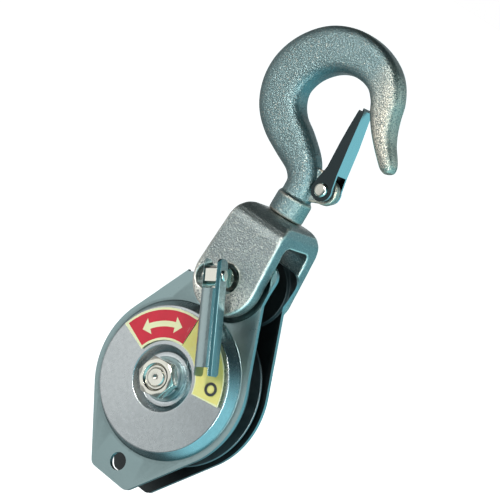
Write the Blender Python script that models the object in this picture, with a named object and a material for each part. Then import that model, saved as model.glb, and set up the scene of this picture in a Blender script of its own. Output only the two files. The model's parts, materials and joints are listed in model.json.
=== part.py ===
"""A snatch block with a swivel safety hook: opening side plate, forked yoke and drop-lever lock.

Frame: metres, +Z up along the block, +Y from the opening side plate to the fixed one,
origin on the bearing point inside the hook, which the whole block hangs from. The dimensions
below are in millimetres and are laid out from the centre of the sheave.
"""

import math

import bmesh
import bpy
from mathutils import Euler, Matrix, Vector
from mathutils.geometry import delaunay_2d_cdt

MM = 0.001

# Bearing point inside the hook, measured from the centre of the sheave
HANG_X = -12.8
HANG_Z = 209.0
GAP = 0.3                 # clearance between neighbouring parts

# Upper part: the yoke and hook lean about the lock pin
PIN_Z = 70.5              # height of the lock pin above the axle
LEAN = 2.0                # lean of yoke and hook towards -X, degrees
LEVER_ANGLE = 31.0        # angle of the hanging lever from the block's centre line, degrees

# Sheave and bearing
SHEAVE_R = 49.5
SHEAVE_HUB_HALF = 10.0
SHEAVE_RIM_HALF = 8.8
ROPE_R = 5.5
GROOVE_ROOT_R = 37.5
HUB_BORE_R = 22.0
BALL_R = 3.2
BALL_PITCH_R = 16.0
BALL_COUNT = 9
RING_HALF = 6.0

# Side plates
SHEET = 3.0               # sheet thickness
RIM_Y = 14.7              # outer face of the flat rim
PLATE_R = 52.0
DISH_H = 9.8              # height of the raised dish above the rim
WELL_DEPTH = 4.5
WELL_R = 16.0
NECK_TILT = 25.0
NECK_HALF = 24.5
NECK_TOP = 92.0
TAIL_TILT = 33.5
TAIL_END = -70.0
TAIL_EYE_R = 5.5
TAIL_EYE_Z = -58.5
JOGGLE = 2.5              # inward step of the neck
JOGGLE_R = 25.2
PLATE_SEGS = 48

# Axle
BOLT_R = 7.0
NUT_AF = 22.0
BOLT_END_Y = 31.8

# Yoke
YOKE_HALF_Y = 25.0
SLOT_HALF_Y = 15.0
LEG_R = 22.0
SLOT_TOP = 34.0           # above the lock pin
CROWN_TOP = 47.0          # above the lock pin
SHANK_R = 6.0

# Lock pin and lever
PIN_R = 7.0
PIN_FLAT_HALF = 4.0
SEAT_R = PIN_R + GAP
MOUTH_HALF = PIN_FLAT_HALF + GAP + 0.2
TONGUE_HALF = 3.9
TONGUE_ROOT_Y = -26.7     # far enough back for the folded lever's ears
CROSS_PIN_R = 2.0
CROSS_PIN_Y = -37.0
LEVER_HALF = 5.8
LEVER_SHEET = 1.6
LEVER_FRONT_Y = -44.0
LEVER_BACK_Y = -32.4
LEVER_LEN = 59.0
LEVER_TOP = 9.8
LEVER_BEND = 2.6

# Hook: stations along its centre line, as (x, z, half width, half thickness, squareness)
COLLAR_R = 11.25
COLLAR_TOP = 131.0
HOOK_STATIONS = [
    (0.0, 127.0, 10.2, 9.6, 2.2),
    (-0.5, 134.0, 9.2, 9.0, 2.3),
    (-1.5, 142.0, 9.4, 8.8, 2.6),
    (-7.5, 150.5, 10.6, 9.0, 3.2),
    (-19.5, 158.0, 12.2, 9.2, 3.8),
    (-31.0, 164.5, 12.9, 9.4, 4.0),
    (-39.5, 173.0, 13.8, 9.4, 4.0),
    (-44.0, 184.0, 14.2, 9.4, 4.0),
    (-43.5, 195.0, 14.7, 9.4, 4.0),
    (-38.5, 206.0, 14.8, 9.4, 4.0),
    (-29.5, 215.5, 14.6, 9.4, 4.0),
    (-18.5, 221.0, 13.8, 9.2, 4.0),
    (-7.0, 222.5, 12.8, 9.0, 4.0),
    (4.2, 220.7, 11.6, 8.8, 4.0),
    (13.2, 216.1, 10.5, 8.8, 4.0),
    (19.6, 208.5, 9.4, 8.8, 3.9),
    (23.2, 200.5, 8.3, 8.6, 3.8),
    (27.8, 192.3, 6.9, 8.2, 3.6),
    (33.3, 185.0, 5.7, 7.6, 3.4),
    (39.4, 178.6, 5.1, 6.8, 3.2),
    (42.9, 174.6, 4.4, 5.8, 2.8),
    (44.6, 172.2, 2.6, 4.0, 2.4),
]

# Latch
RIVET_X = 15.5
RIVET_Z = 143.5
EAR_HALF = 2.8
CHEEK_IN = 5.4
CHEEK_OUT = 6.9
LATCH_LEN = 54.0
LATCH_LEAN = 6.5          # lean of the latch towards -X, degrees

# Label
LABEL_IN_R = 22.8
LABEL_OUT_R = 42.2
LABEL_RED = (90.2, 163.2)
LABEL_YELLOW = (9.5, 89.4)
RING_X = 31.9
RING_Z = 13.3


# ---------------------------------------------------------------- materials

def material(name, colour, rough, metal):
    mat = bpy.data.materials.new(name)
    mat.use_nodes = True
    bsdf = mat.node_tree.nodes["Principled BSDF"]
    bsdf.inputs["Base Color"].default_value = (*colour, 1.0)
    bsdf.inputs["Roughness"].default_value = rough
    bsdf.inputs["Metallic"].default_value = metal
    mat.diffuse_color = (*colour, 1.0)
    return mat


FINISH = {
    "forged": ((0.36, 0.38, 0.38), 0.42, 1.0),
    "plate": ((0.62, 0.64, 0.64), 0.26, 1.0),
    "polished": ((0.70, 0.71, 0.71), 0.14, 1.0),
    "spring": ((0.40, 0.41, 0.42), 0.35, 1.0),
    "dark": ((0.16, 0.16, 0.17), 0.45, 1.0),
    "red": ((0.56, 0.02, 0.045), 0.40, 0.0),
    "yellow": ((0.86, 0.74, 0.22), 0.40, 0.0),
    "black": ((0.03, 0.03, 0.03), 0.45, 0.0),
}


# ---------------------------------------------------------------- mesh helpers

def finish(bm, name, look, parent=None, smooth=True, sharp=38.0):
    """Turn a bmesh in millimetres into a named object with its own material."""
    bmesh.ops.remove_doubles(bm, verts=bm.verts, dist=1e-4)
    bmesh.ops.recalc_face_normals(bm, faces=bm.faces)
    bmesh.ops.scale(bm, vec=(MM, MM, MM), verts=bm.verts)
    mesh = bpy.data.meshes.new(name)
    bm.to_mesh(mesh)
    bm.free()
    for poly in mesh.polygons:
        poly.use_smooth = smooth
    if smooth:
        mesh.set_sharp_from_angle(angle=math.radians(sharp))
    obj = bpy.data.objects.new(name, mesh)
    bpy.context.scene.collection.objects.link(obj)
    obj.data.materials.append(material(name, *FINISH[look]))
    obj.parent = parent or bpy.data.objects["block_frame"]
    return obj


def turned(bm, outline, segs, start=0.0):
    """Revolve a closed (radius, y) outline about the Y axis."""
    rings = []
    for r, y in outline:
        if r < 1e-6:
            rings.append([bm.verts.new((0.0, y, 0.0))])
            continue
        ring = []
        for i in range(segs):
            a = start + 2.0 * math.pi * i / segs
            ring.append(bm.verts.new((r * math.cos(a), y, r * math.sin(a))))
        rings.append(ring)
    count = len(rings)
    for k in range(count):
        one = rings[k]
        two = rings[(k + 1) % count]
        if len(one) == 1 and len(two) == 1:
            continue
        for i in range(segs):
            j = (i + 1) % segs
            loop = []
            for v in (one[i % len(one)], one[j % len(one)], two[j % len(two)], two[i % len(two)]):
                if v not in loop:
                    loop.append(v)
            bm.faces.new(loop)
    return bm


def prism(bm, points, low, high, axis="Y"):
    """Extrude a flat outline. axis Y takes (x, z) points, axis X takes (y, z), axis Z takes (x, y)."""
    def place(p, depth):
        if axis == "Y":
            return (p[0], depth, p[1])
        if axis == "X":
            return (depth, p[0], p[1])
        return (p[0], p[1], depth)
    a = [bm.verts.new(place(p, low)) for p in points]
    b = [bm.verts.new(place(p, high)) for p in points]
    bm.faces.new(a)
    bm.faces.new(list(reversed(b)))
    for i in range(len(points)):
        j = (i + 1) % len(points)
        bm.faces.new((a[i], b[i], b[j], a[j]))
    return bm


def arc(cx, cz, r, a0, a1, count):
    """Points of an arc, angles in degrees, both ends included."""
    out = []
    for i in range(count):
        a = math.radians(a0 + (a1 - a0) * i / (count - 1))
        out.append((cx + r * math.cos(a), cz + r * math.sin(a)))
    return out


def circle(cx, cz, r, count, start=0.0):
    out = []
    for i in range(count):
        a = math.radians(start) + 2.0 * math.pi * i / count
        out.append((cx + r * math.cos(a), cz + r * math.sin(a)))
    return out


def combine(obj, tool_bm, operation):
    """Boolean a millimetre bmesh into an object and keep only the result."""
    bmesh.ops.recalc_face_normals(tool_bm, faces=tool_bm.faces)
    bmesh.ops.scale(tool_bm, vec=(MM, MM, MM), verts=tool_bm.verts)
    tool_mesh = bpy.data.meshes.new("tool")
    tool_bm.to_mesh(tool_mesh)
    tool_bm.free()
    tool = bpy.data.objects.new("tool", tool_mesh)
    bpy.context.scene.collection.objects.link(tool)
    tool.parent = obj.parent
    tool.hide_render = True
    tool.display_type = "WIRE"
    mod = obj.modifiers.new("cut", "BOOLEAN")
    mod.operation = operation
    mod.solver = "EXACT"
    mod.object = tool
    bpy.context.view_layer.update()
    graph = bpy.context.evaluated_depsgraph_get()
    result = bpy.data.meshes.new_from_object(obj.evaluated_get(graph))
    obj.modifiers.remove(mod)
    old = obj.data
    result.name = old.name
    obj.data = result
    bpy.data.meshes.remove(old)
    bpy.data.objects.remove(tool)
    bpy.data.meshes.remove(tool_mesh)
    bm = bmesh.new()
    bm.from_mesh(obj.data)
    bmesh.ops.remove_doubles(bm, verts=bm.verts, dist=2e-6)
    bmesh.ops.dissolve_degenerate(bm, edges=bm.edges, dist=1e-6)
    bm.to_mesh(obj.data)
    bm.free()
    for poly in obj.data.polygons:
        poly.use_smooth = True
    obj.data.set_sharp_from_angle(angle=math.radians(38.0))
    return obj


def frame_empty(name, location, turn_y=0.0, parent=None):
    above = parent or bpy.data.objects.get("block_frame")
    empty = bpy.data.objects.new(name, None)
    bpy.context.scene.collection.objects.link(empty)
    empty.location = Vector(location) * MM
    empty.rotation_euler = Euler((0.0, math.radians(turn_y), 0.0))
    empty.parent = above
    return empty


# ---------------------------------------------------------------- side plates

def plate_outline():
    """Round body with a tapering neck above and a tapering tail below, counter-clockwise."""
    half = []
    neck = math.radians(NECK_TILT)
    tail = math.radians(TAIL_TILT)
    tail_point = (PLATE_R * math.cos(tail), -PLATE_R * math.sin(tail))
    run = (tail_point[1] - TAIL_END) / math.cos(tail)
    tail_half = tail_point[0] - run * math.sin(tail)
    half += [(tail_half - 5.0, TAIL_END)]
    half += arc(tail_half - 4.1, TAIL_END + 5.2, 5.2, -80.0, -TAIL_TILT - 4.0, 4)
    half += arc(0.0, 0.0, PLATE_R, -TAIL_TILT, NECK_TILT, 17)
    neck_z = PLATE_R * math.sin(neck) + (PLATE_R * math.cos(neck) - NECK_HALF) / math.tan(neck)
    half += [(NECK_HALF, neck_z)]
    half += arc(NECK_HALF - 8.0, NECK_TOP - 8.0, 8.0, 0.0, 90.0, 6)
    left = [(-x, z) for x, z in reversed(half)]
    return half + left


def inside(point, polygon):
    x, z = point
    hit = False
    for i in range(len(polygon)):
        x1, z1 = polygon[i]
        x2, z2 = polygon[(i + 1) % len(polygon)]
        if (z1 > z) != (z2 > z) and x < (x2 - x1) * (z - z1) / (z2 - z1) + x1:
            hit = not hit
    return hit


def ramp(value, table):
    if value <= table[0][0]:
        return table[0][1]
    for (a, fa), (b, fb) in zip(table, table[1:]):
        if value <= b:
            return fa + (fb - fa) * (value - a) / (b - a)
    return table[-1][1]


WELL_H = DISH_H - WELL_DEPTH
OUTER_PROFILE = [
    (WELL_R, WELL_H), (19.2, DISH_H - 0.5), (20.4, DISH_H), (43.0, DISH_H), (45.2, DISH_H - 0.9),
    (46.6, DISH_H - 3.0), (47.3, 2.4), (47.9, 0.3), (48.3, 0.0),
]
INNER_PROFILE = [
    (18.4, WELL_H - SHEET), (22.0, DISH_H - SHEET), (41.2, DISH_H - SHEET), (43.4, DISH_H - 4.8),
    (44.4, -0.6), (45.4, -SHEET),
]


def joggle(x, z):
    r = math.hypot(x, z)
    rp = math.hypot(x, z - PIN_Z)
    inward = min(1.0, max(0.0, (JOGGLE_R - rp) / 1.8))
    clear = min(1.0, max(0.0, (r - 48.4) / 1.8))
    return JOGGLE * inward * clear


def plate_mesh(side, holes):
    """Sheet plate between an outer and an inner surface; side -1 is the front, +1 the rear."""
    outline = plate_outline()
    rings = sorted({p[0] for p in OUTER_PROFILE + INNER_PROFILE} | {50.2})
    loops = [outline] + holes
    for r in rings:
        loops.append(circle(0.0, 0.0, r, PLATE_SEGS))
    for r in (JOGGLE_R - 1.8, JOGGLE_R):
        loops.append(circle(0.0, PIN_Z, r, 44))
    verts = []
    edges = []
    for loop in loops:
        first = len(verts)
        verts += [Vector(p) for p in loop]
        edges += [(first + i, first + (i + 1) % len(loop)) for i in range(len(loop))]
    coords, _, faces, _, _, _ = delaunay_2d_cdt(verts, edges, [], 0, 1e-4)
    keep = []
    for face in faces:
        cx = sum(coords[i].x for i in face) / len(face)
        cz = sum(coords[i].y for i in face) / len(face)
        if not inside((cx, cz), outline):
            continue
        if any(inside((cx, cz), hole) for hole in holes):
            continue
        keep.append(face)
    bm = bmesh.new()
    outer = {}
    inner = {}
    for face in keep:
        for i in face:
            if i in outer:
                continue
            x, z = coords[i]
            r = math.hypot(x, z)
            step = joggle(x, z)
            y_out = RIM_Y + ramp(r, OUTER_PROFILE) - step
            y_in = RIM_Y + ramp(r, INNER_PROFILE) - step
            outer[i] = bm.verts.new((x, side * y_out, z))
            inner[i] = bm.verts.new((x, side * y_in, z))
    seen = {}
    for face in keep:
        bm.faces.new([outer[i] for i in face])
        bm.faces.new([inner[i] for i in reversed(face)])
        for k in range(len(face)):
            a = face[k]
            b = face[(k + 1) % len(face)]
            key = (min(a, b), max(a, b))
            seen[key] = seen.get(key, 0) + 1
    for (a, b), times in seen.items():
        if times == 1:
            bm.faces.new((outer[a], outer[b], inner[b], inner[a]))
    return bm


def front_seat():
    """Seat for the lock pin with a mouth that follows the plate's swing towards -X."""
    open_to = 90.0 + 26.0
    half = math.degrees(math.asin(MOUTH_HALF / SEAT_R))
    begin = 90.0 + math.degrees(5.8 / PIN_Z)
    low = arc(0.0, 0.0, PIN_Z - MOUTH_HALF, begin, open_to, 7)
    high = arc(0.0, 0.0, PIN_Z + MOUTH_HALF, open_to, begin - 0.2, 7)
    round_part = arc(0.0, PIN_Z, SEAT_R, 180.0 - half - 2.0, -180.0 + half + 6.0, 22)
    return round_part + low + high


def side_plates():
    axle_hole = circle(0.0, 0.0, BOLT_R + GAP, 32)
    eye = circle(0.0, TAIL_EYE_Z, TAIL_EYE_R, 24)
    pin_hole = circle(0.0, PIN_Z, SEAT_R, 32)
    rear = finish(plate_mesh(1.0, [axle_hole, eye, pin_hole]), "rear_side_plate", "plate")
    front = finish(plate_mesh(-1.0, [axle_hole, eye]), "front_side_plate", "plate")
    tool = bmesh.new()
    prism(tool, front_seat(), -20.0, -5.0)
    combine(front, tool, "DIFFERENCE")
    return rear, front


def label_sector(name, span, look, low, high):
    a0, a1 = span
    out = arc(0.0, 0.0, LABEL_OUT_R, a0, a1, 19)
    back = arc(0.0, 0.0, LABEL_IN_R, a1, a0, 15)
    bm = bmesh.new()
    prism(bm, out + back, low, high)
    return finish(bm, name, look, smooth=False)


def labels():
    face = -(RIM_Y + DISH_H)
    label_sector("label_red_panel", LABEL_RED, "red", face - GAP - 0.3, face - GAP)
    label_sector("label_yellow_panel", LABEL_YELLOW, "yellow", face - GAP - 0.3, face - GAP)
    bm = bmesh.new()
    top = face - 2.0 * GAP - 0.3
    turned(bm, [(2.5, top), (4.1, top), (4.1, top - 0.3), (2.5, top - 0.3)], 28)
    bmesh.ops.translate(bm, vec=(RING_X, 0.0, RING_Z), verts=bm.verts)
    finish(bm, "label_ring_mark", "black")


# ---------------------------------------------------------------- sheave and axle

def sheave():
    half = SHEAVE_RIM_HALF
    groove = []
    for i in range(7):
        a = math.radians(-155.0 + 130.0 * i / 6)
        groove.append((GROOVE_ROOT_R + ROPE_R + ROPE_R * math.sin(a), ROPE_R * math.cos(a)))
    outline = [(HUB_BORE_R, SHEAVE_HUB_HALF), (27.0, SHEAVE_HUB_HALF), (29.0, half - 2.2)]
    outline += [(43.0, half - 2.2), (46.5, half), (SHEAVE_R - 0.6, half), (SHEAVE_R, half - 0.5)]
    outline += [(SHEAVE_R, half - 1.3)]
    outline += list(reversed(groove))
    outline += [(SHEAVE_R, -(half - 1.3)), (SHEAVE_R, -(half - 0.5)), (SHEAVE_R - 0.6, -half)]
    outline += [(46.5, -half), (43.0, -(half - 2.2)), (29.0, -(half - 2.2))]
    outline += [(27.0, -SHEAVE_HUB_HALF), (HUB_BORE_R, -SHEAVE_HUB_HALF)]
    bm = turned(bmesh.new(), outline, 44)
    return finish(bm, "sheave", "plate")


def ring(name, look, r_in, r_out, y0, y1, segs=40, chamfer=0.0, parent=None):
    c = chamfer
    if c:
        outline = [(r_in, y0), (r_out - c, y0), (r_out, y0 + c), (r_out, y1 - c), (r_out - c, y1), (r_in, y1)]
    else:
        outline = [(r_in, y0), (r_out, y0), (r_out, y1), (r_in, y1)]
    return finish(turned(bmesh.new(), outline, segs), name, look, parent)


def bearing():
    inner_race = BALL_PITCH_R - BALL_R - 0.15
    outer_race = BALL_PITCH_R + BALL_R + 0.15
    lip = 1.3
    inner = [(10.4, -RING_HALF), (13.9, -RING_HALF), (13.9, -2.6), (13.1, -1.6), (inner_race, 0.0)]
    inner += [(13.1, 1.6), (13.9, 2.6), (13.9, RING_HALF), (10.4, RING_HALF)]
    finish(turned(bmesh.new(), inner, 30), "bearing_inner_ring", "polished")
    far = HUB_BORE_R - GAP
    outer = [(far, -RING_HALF), (far, RING_HALF), (18.1, RING_HALF), (18.1, 2.6), (18.9, 1.6)]
    outer += [(outer_race, 0.0), (18.9, -1.6), (18.1, -2.6), (18.1, -RING_HALF)]
    finish(turned(bmesh.new(), outer, 30), "bearing_outer_ring", "polished")
    for i in range(BALL_COUNT):
        a = 2.0 * math.pi * i / BALL_COUNT
        bm = bmesh.new()
        bmesh.ops.create_uvsphere(bm, u_segments=10, v_segments=6, radius=BALL_R)
        ball = finish(bm, f"bearing_ball_{i + 1}", "polished")
        ball.location = Vector((BALL_PITCH_R * math.cos(a), 0.0, BALL_PITCH_R * math.sin(a))) * MM
    cage = finish(
        turned(bmesh.new(), [(15.0, -4.2), (17.0, -4.2), (17.0, 4.2), (15.0, 4.2)], 27),
        "bearing_cage", "spring")
    tool = bmesh.new()
    for i in range(BALL_COUNT):
        a = 2.0 * math.pi * i / BALL_COUNT
        place = Matrix.Rotation(-a, 4, "Y") @ Matrix.Translation((BALL_PITCH_R, 0.0, 0.0))
        place = place @ Matrix.Rotation(math.radians(90.0), 4, "Y")
        bmesh.ops.create_cone(tool, cap_ends=True, segments=12, radius1=BALL_R + GAP,
                              radius2=BALL_R + GAP, depth=8.0, matrix=place)
    combine(cage, tool, "DIFFERENCE")
    for name, sign in (("bearing_shield_front", -1.0), ("bearing_shield_rear", 1.0)):
        y0, y1 = sorted((sign * 4.6, sign * 5.2))
        ring(name, "plate", 14.3, 17.8, y0, y1, 28)
    for name, sign in (("retaining_ring_front", -1.0), ("retaining_ring_rear", 1.0)):
        y0, y1 = sorted((sign * (RING_HALF + GAP), sign * (RING_HALF + GAP + 1.2)))
        ring(name, "spring", 19.4, far, y0, y1, 28)


def hexagon(af, start=0.0):
    return circle(0.0, 0.0, af / math.sqrt(3.0), 6, start)


def hex_body(name, af, y0, y1, hole_r, look):
    """Hexagon with conical chamfers on both faces and, when asked for, a hole along Y."""
    bm = bmesh.new()
    prism(bm, hexagon(af, 12.0), y0, y1)
    obj = finish(bm, name, look)
    corner = af / math.sqrt(3.0)
    flat = af / 2.0
    cone = [(0.0, y0 - 0.01), (flat - 0.6, y0 - 0.01), (corner + 0.3, y0 + 1.5)]
    cone += [(corner + 0.3, y1 - 1.5), (flat - 0.6, y1 + 0.01), (0.0, y1 + 0.01)]
    combine(obj, turned(bmesh.new(), cone, 48), "INTERSECT")
    if hole_r:
        hole = [(0.0, y0 - 2.0), (hole_r, y0 - 2.0), (hole_r, y1 + 2.0), (0.0, y1 + 2.0)]
        combine(obj, turned(bmesh.new(), hole, 32), "DIFFERENCE")
    return obj


def axle():
    well_y = RIM_Y + WELL_H
    ring("nut_washer", "plate", BOLT_R + GAP, 13.6, -(well_y + GAP + 1.6), -(well_y + GAP), 28, 0.25)
    ring("bolt_washer", "plate", BOLT_R + GAP, 13.6, well_y + GAP, well_y + GAP + 1.6, 28, 0.25)
    y = -(well_y + 2.0 * GAP + 1.6)
    washer = ring("spring_washer", "spring", BOLT_R + GAP, 11.4, y - 2.2, y, 28)
    cut = bmesh.new()
    prism(cut, [(6.0, -1.4), (13.0, 0.0), (13.0, 1.2), (6.0, -0.2)], y - 4.0, y + 2.0)
    combine(washer, cut, "DIFFERENCE")
    nut_in = y - 2.2 - GAP
    hex_body("axle_nut", NUT_AF, nut_in - 7.4, nut_in, BOLT_R + GAP, "polished")
    head_in = well_y + 2.0 * GAP + 1.6
    bolt = hex_body("axle_bolt", NUT_AF, head_in, head_in + 8.4, 0.0, "polished")
    shank = [(0.0, -BOLT_END_Y), (BOLT_R - 1.1, -BOLT_END_Y), (BOLT_R, -BOLT_END_Y + 1.1)]
    shank += [(BOLT_R, head_in + 1.0), (0.0, head_in + 1.0)]
    combine(bolt, turned(bmesh.new(), shank, 32), "UNION")
    reach = RIM_Y + WELL_H - SHEET - GAP
    ring("axle_sleeve", "spring", BOLT_R + GAP, 10.0, -reach, reach, 36)
    spacer_in = RING_HALF + GAP
    ring("spacer_front", "spring", 10.4, 14.0, -reach, -spacer_in, 36)
    ring("spacer_rear", "spring", 10.4, 14.0, spacer_in, reach, 36)


# ---------------------------------------------------------------- yoke, lock pin and lever

def yoke(upper):
    """Forged fork: front outline crossed with the arched side profile, then drilled."""
    outline = arc(0.0, 0.0, LEG_R, -180.0, 0.0, 25)
    side = [(20.9, 20.0), (20.0, 34.0), (19.2, 40.0), (17.4, 44.6), (14.6, 46.6), (11.8, CROWN_TOP)]
    outline += side + [(-x, z) for x, z in reversed(side)]
    bm = bmesh.new()
    prism(bm, outline, -30.0, 30.0)
    obj = finish(bm, "yoke", "forged", upper)
    h = YOKE_HALF_Y
    arch = [(h, 34.5), (h - 0.9, 38.4), (h - 2.8, 41.6), (h - 6.0, 44.4), (h - 10.5, 46.3), (12.0, CROWN_TOP)]
    rear = [(h - 3.0, -30.0), (h - 2.6, -20.0), (h, -11.0)] + arch
    front = [(-y, z) for y, z in reversed(arch)] + [(-h, -17.0), (-h + 0.8, -30.0)]
    s = SLOT_HALF_Y
    slot = [(-s, -30.0), (-s, SLOT_TOP - 4.0), (-s + 1.2, SLOT_TOP - 1.2), (-s + 4.0, SLOT_TOP)]
    slot += [(s - 4.0, SLOT_TOP), (s - 1.2, SLOT_TOP - 1.2), (s, SLOT_TOP - 4.0), (s, -30.0)]
    tool = bmesh.new()
    prism(tool, rear + front + slot, -40.0, 40.0, "X")
    combine(obj, tool, "INTERSECT")
    bm = bmesh.new()
    bm.from_mesh(obj.data)
    rims = []
    for edge in bm.edges:
        if len(edge.link_faces) != 2 or edge.calc_face_angle(0.0) < math.radians(50.0):
            continue
        mid = (edge.verts[0].co + edge.verts[1].co) / 2.0 / MM
        if abs(mid.y) > s + 1.0 and abs(mid.x) > 1.0:
            rims.append(edge)
    bmesh.ops.bevel(bm, geom=rims, offset=1.3 * MM, segments=2, profile=0.5, affect="EDGES")
    bm.to_mesh(obj.data)
    bm.free()
    keyhole = circle(-11.0, -4.5, 7.5, 28)
    bore = circle(0.0, 0.0, 9.4, 36)
    pin_hole = circle(0.0, 0.0, PIN_R + GAP, 32)
    for points, low, high in ((keyhole, -40.0, 0.0), (bore, -40.0, 0.0), (pin_hole, 0.0, 40.0)):
        tool = bmesh.new()
        prism(tool, points, low, high)
        combine(obj, tool, "DIFFERENCE")
    tool = bmesh.new()
    prism(tool, circle(0.0, 0.0, SHANK_R + GAP, 32), 30.0, 60.0, "Z")
    combine(obj, tool, "DIFFERENCE")
    return obj


def lock_pin(lever_frame):
    """Turning pin: rear head, clip groove, two flats at the front plate, slotted tongue at the end."""
    outline = [(0.0, 28.8), (9.0, 28.8), (10.0, 27.8), (10.0, YOKE_HALF_Y + GAP), (PIN_R, YOKE_HALF_Y + GAP)]
    outline += [(PIN_R, 14.4), (6.0, 14.4), (6.0, 12.9), (PIN_R, 12.9)]
    outline += [(PIN_R, -41.0), (6.4, -41.9), (0.0, -41.9)]
    obj = finish(turned(bmesh.new(), outline, 36), "lock_pin", "polished", lever_frame)
    turn = Matrix.Rotation(math.radians(LEVER_ANGLE), 4, "Y")
    for sign in (-1.0, 1.0):
        tool = bmesh.new()
        low, high = sorted((sign * PIN_FLAT_HALF, sign * 12.0))
        prism(tool, [(-15.0, low), (15.0, low), (15.0, high), (-15.0, high)], -15.6, -8.6)
        bmesh.ops.transform(tool, matrix=turn, verts=tool.verts)
        combine(obj, tool, "DIFFERENCE")
        tool = bmesh.new()
        low, high = sorted((sign * TONGUE_HALF, sign * 12.0))
        prism(tool, [(low, -15.0), (high, -15.0), (high, 15.0), (low, 15.0)], -50.0, TONGUE_ROOT_Y)
        combine(obj, tool, "DIFFERENCE")
    tool = bmesh.new()
    ring_points = arc(CROSS_PIN_Y, 0.0, 6.2, 90.0, 270.0, 13)
    far = [(CROSS_PIN_Y, -20.0), (-60.0, -20.0), (-60.0, 20.0), (CROSS_PIN_Y, 20.0)]
    prism(tool, ring_points + far, -20.0, 20.0, "X")
    combine(obj, tool, "DIFFERENCE")
    tool = bmesh.new()
    prism(tool, circle(CROSS_PIN_Y, 0.0, CROSS_PIN_R + GAP, 20), -20.0, 20.0, "X")
    combine(obj, tool, "DIFFERENCE")
    clip = bmesh.new()
    turned(clip, [(6.3, 13.1), (9.6, 13.1), (9.6, 14.2), (6.3, 14.2)], 36)
    obj = finish(clip, "lock_pin_clip", "spring", lever_frame)
    tool = bmesh.new()
    prism(tool, [(-1.6, -14.0), (1.6, -14.0), (1.6, 0.0), (-1.6, 0.0)], 10.0, 17.0)
    combine(obj, tool, "DIFFERENCE")


def lever(fold_frame):
    """Pressed channel: web to the front, two flanges straddling the tongue of the lock pin."""
    front = LEVER_FRONT_Y - CROSS_PIN_Y
    back = LEVER_BACK_Y - CROSS_PIN_Y
    w = LEVER_HALF
    t = LEVER_SHEET
    section = [(w, back)] + arc(w - LEVER_BEND, front + LEVER_BEND, LEVER_BEND, 0.0, -90.0, 6)
    section += [(-x, y) for x, y in reversed(section)]
    inner = [(-w + t, back)] + arc(-w + LEVER_BEND, front + LEVER_BEND, LEVER_BEND - t, 180.0, 270.0, 4)
    inner += [(-x, y) for x, y in reversed(inner)]
    bm = bmesh.new()
    prism(bm, section + inner, -LEVER_LEN, LEVER_TOP, "Z")
    obj = finish(bm, "lock_lever", "polished", fold_frame)
    side = arc(back - 4.2, LEVER_TOP - 4.2, 4.2, 0.0, 90.0, 7)
    side += arc(front + 4.2, LEVER_TOP - 4.2, 4.2, 90.0, 180.0, 7)
    side += [(front, -9.0), (front, -LEVER_LEN + 1.0), (front + 1.0, -LEVER_LEN)]
    side += arc(back - 3.0, -LEVER_LEN + 3.0, 3.0, -90.0, 0.0, 6) + [(back, -8.0)]
    tool = bmesh.new()
    prism(tool, side, -10.0, 10.0, "X")
    combine(obj, tool, "INTERSECT")
    tool = bmesh.new()
    prism(tool, [(-w + t, 20.0), (w - t, 20.0), (w - t, -8.0), (-w + t, -8.0)], -20.0, 20.0)
    combine(obj, tool, "DIFFERENCE")
    tool = bmesh.new()
    end = -LEVER_LEN
    notch = [(-w + t, end + 4.8), (w - t, end + 4.8), (w - t, end - 5.0), (-w + t, end - 5.0)]
    prism(tool, notch, -20.0, 20.0)
    combine(obj, tool, "DIFFERENCE")
    tool = bmesh.new()
    prism(tool, circle(0.0, 0.0, CROSS_PIN_R + GAP, 20), -20.0, 20.0, "X")
    combine(obj, tool, "DIFFERENCE")


def cross_pin(fold_frame):
    """Headed pin through the tongue and both flanges of the lever."""
    end = LEVER_HALF + GAP
    outline = [(0.0, -end - 1.3), (2.6, -end - 1.3), (3.3, -end - 0.7), (3.3, -end), (CROSS_PIN_R, -end)]
    outline += [(CROSS_PIN_R, end), (3.3, end), (3.3, end + 0.7), (2.6, end + 1.3), (0.0, end + 1.3)]
    bm = turned(bmesh.new(), outline, 20)
    quarter = Matrix.Rotation(math.radians(90.0), 3, "Z")
    bmesh.ops.rotate(bm, cent=(0.0, 0.0, 0.0), matrix=quarter, verts=bm.verts)
    finish(bm, "lever_hinge_pin", "polished", fold_frame)


# ---------------------------------------------------------------- hook and latch

def spline(stations, per_span):
    """Catmull-Rom interpolation through the stations."""
    out = []
    n = len(stations)
    for i in range(n - 1):
        p0 = stations[max(i - 1, 0)]
        p1 = stations[i]
        p2 = stations[i + 1]
        p3 = stations[min(i + 2, n - 1)]
        for k in range(per_span):
            t = k / per_span
            point = []
            for a, b, c, d in zip(p0, p1, p2, p3):
                value = 2.0 * b + (c - a) * t + (2.0 * a - 5.0 * b + 4.0 * c - d) * t * t
                value += (3.0 * b - a - 3.0 * c + d) * t ** 3
                point.append(value / 2.0)
            out.append(tuple(point))
    out.append(stations[-1])
    return out


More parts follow.
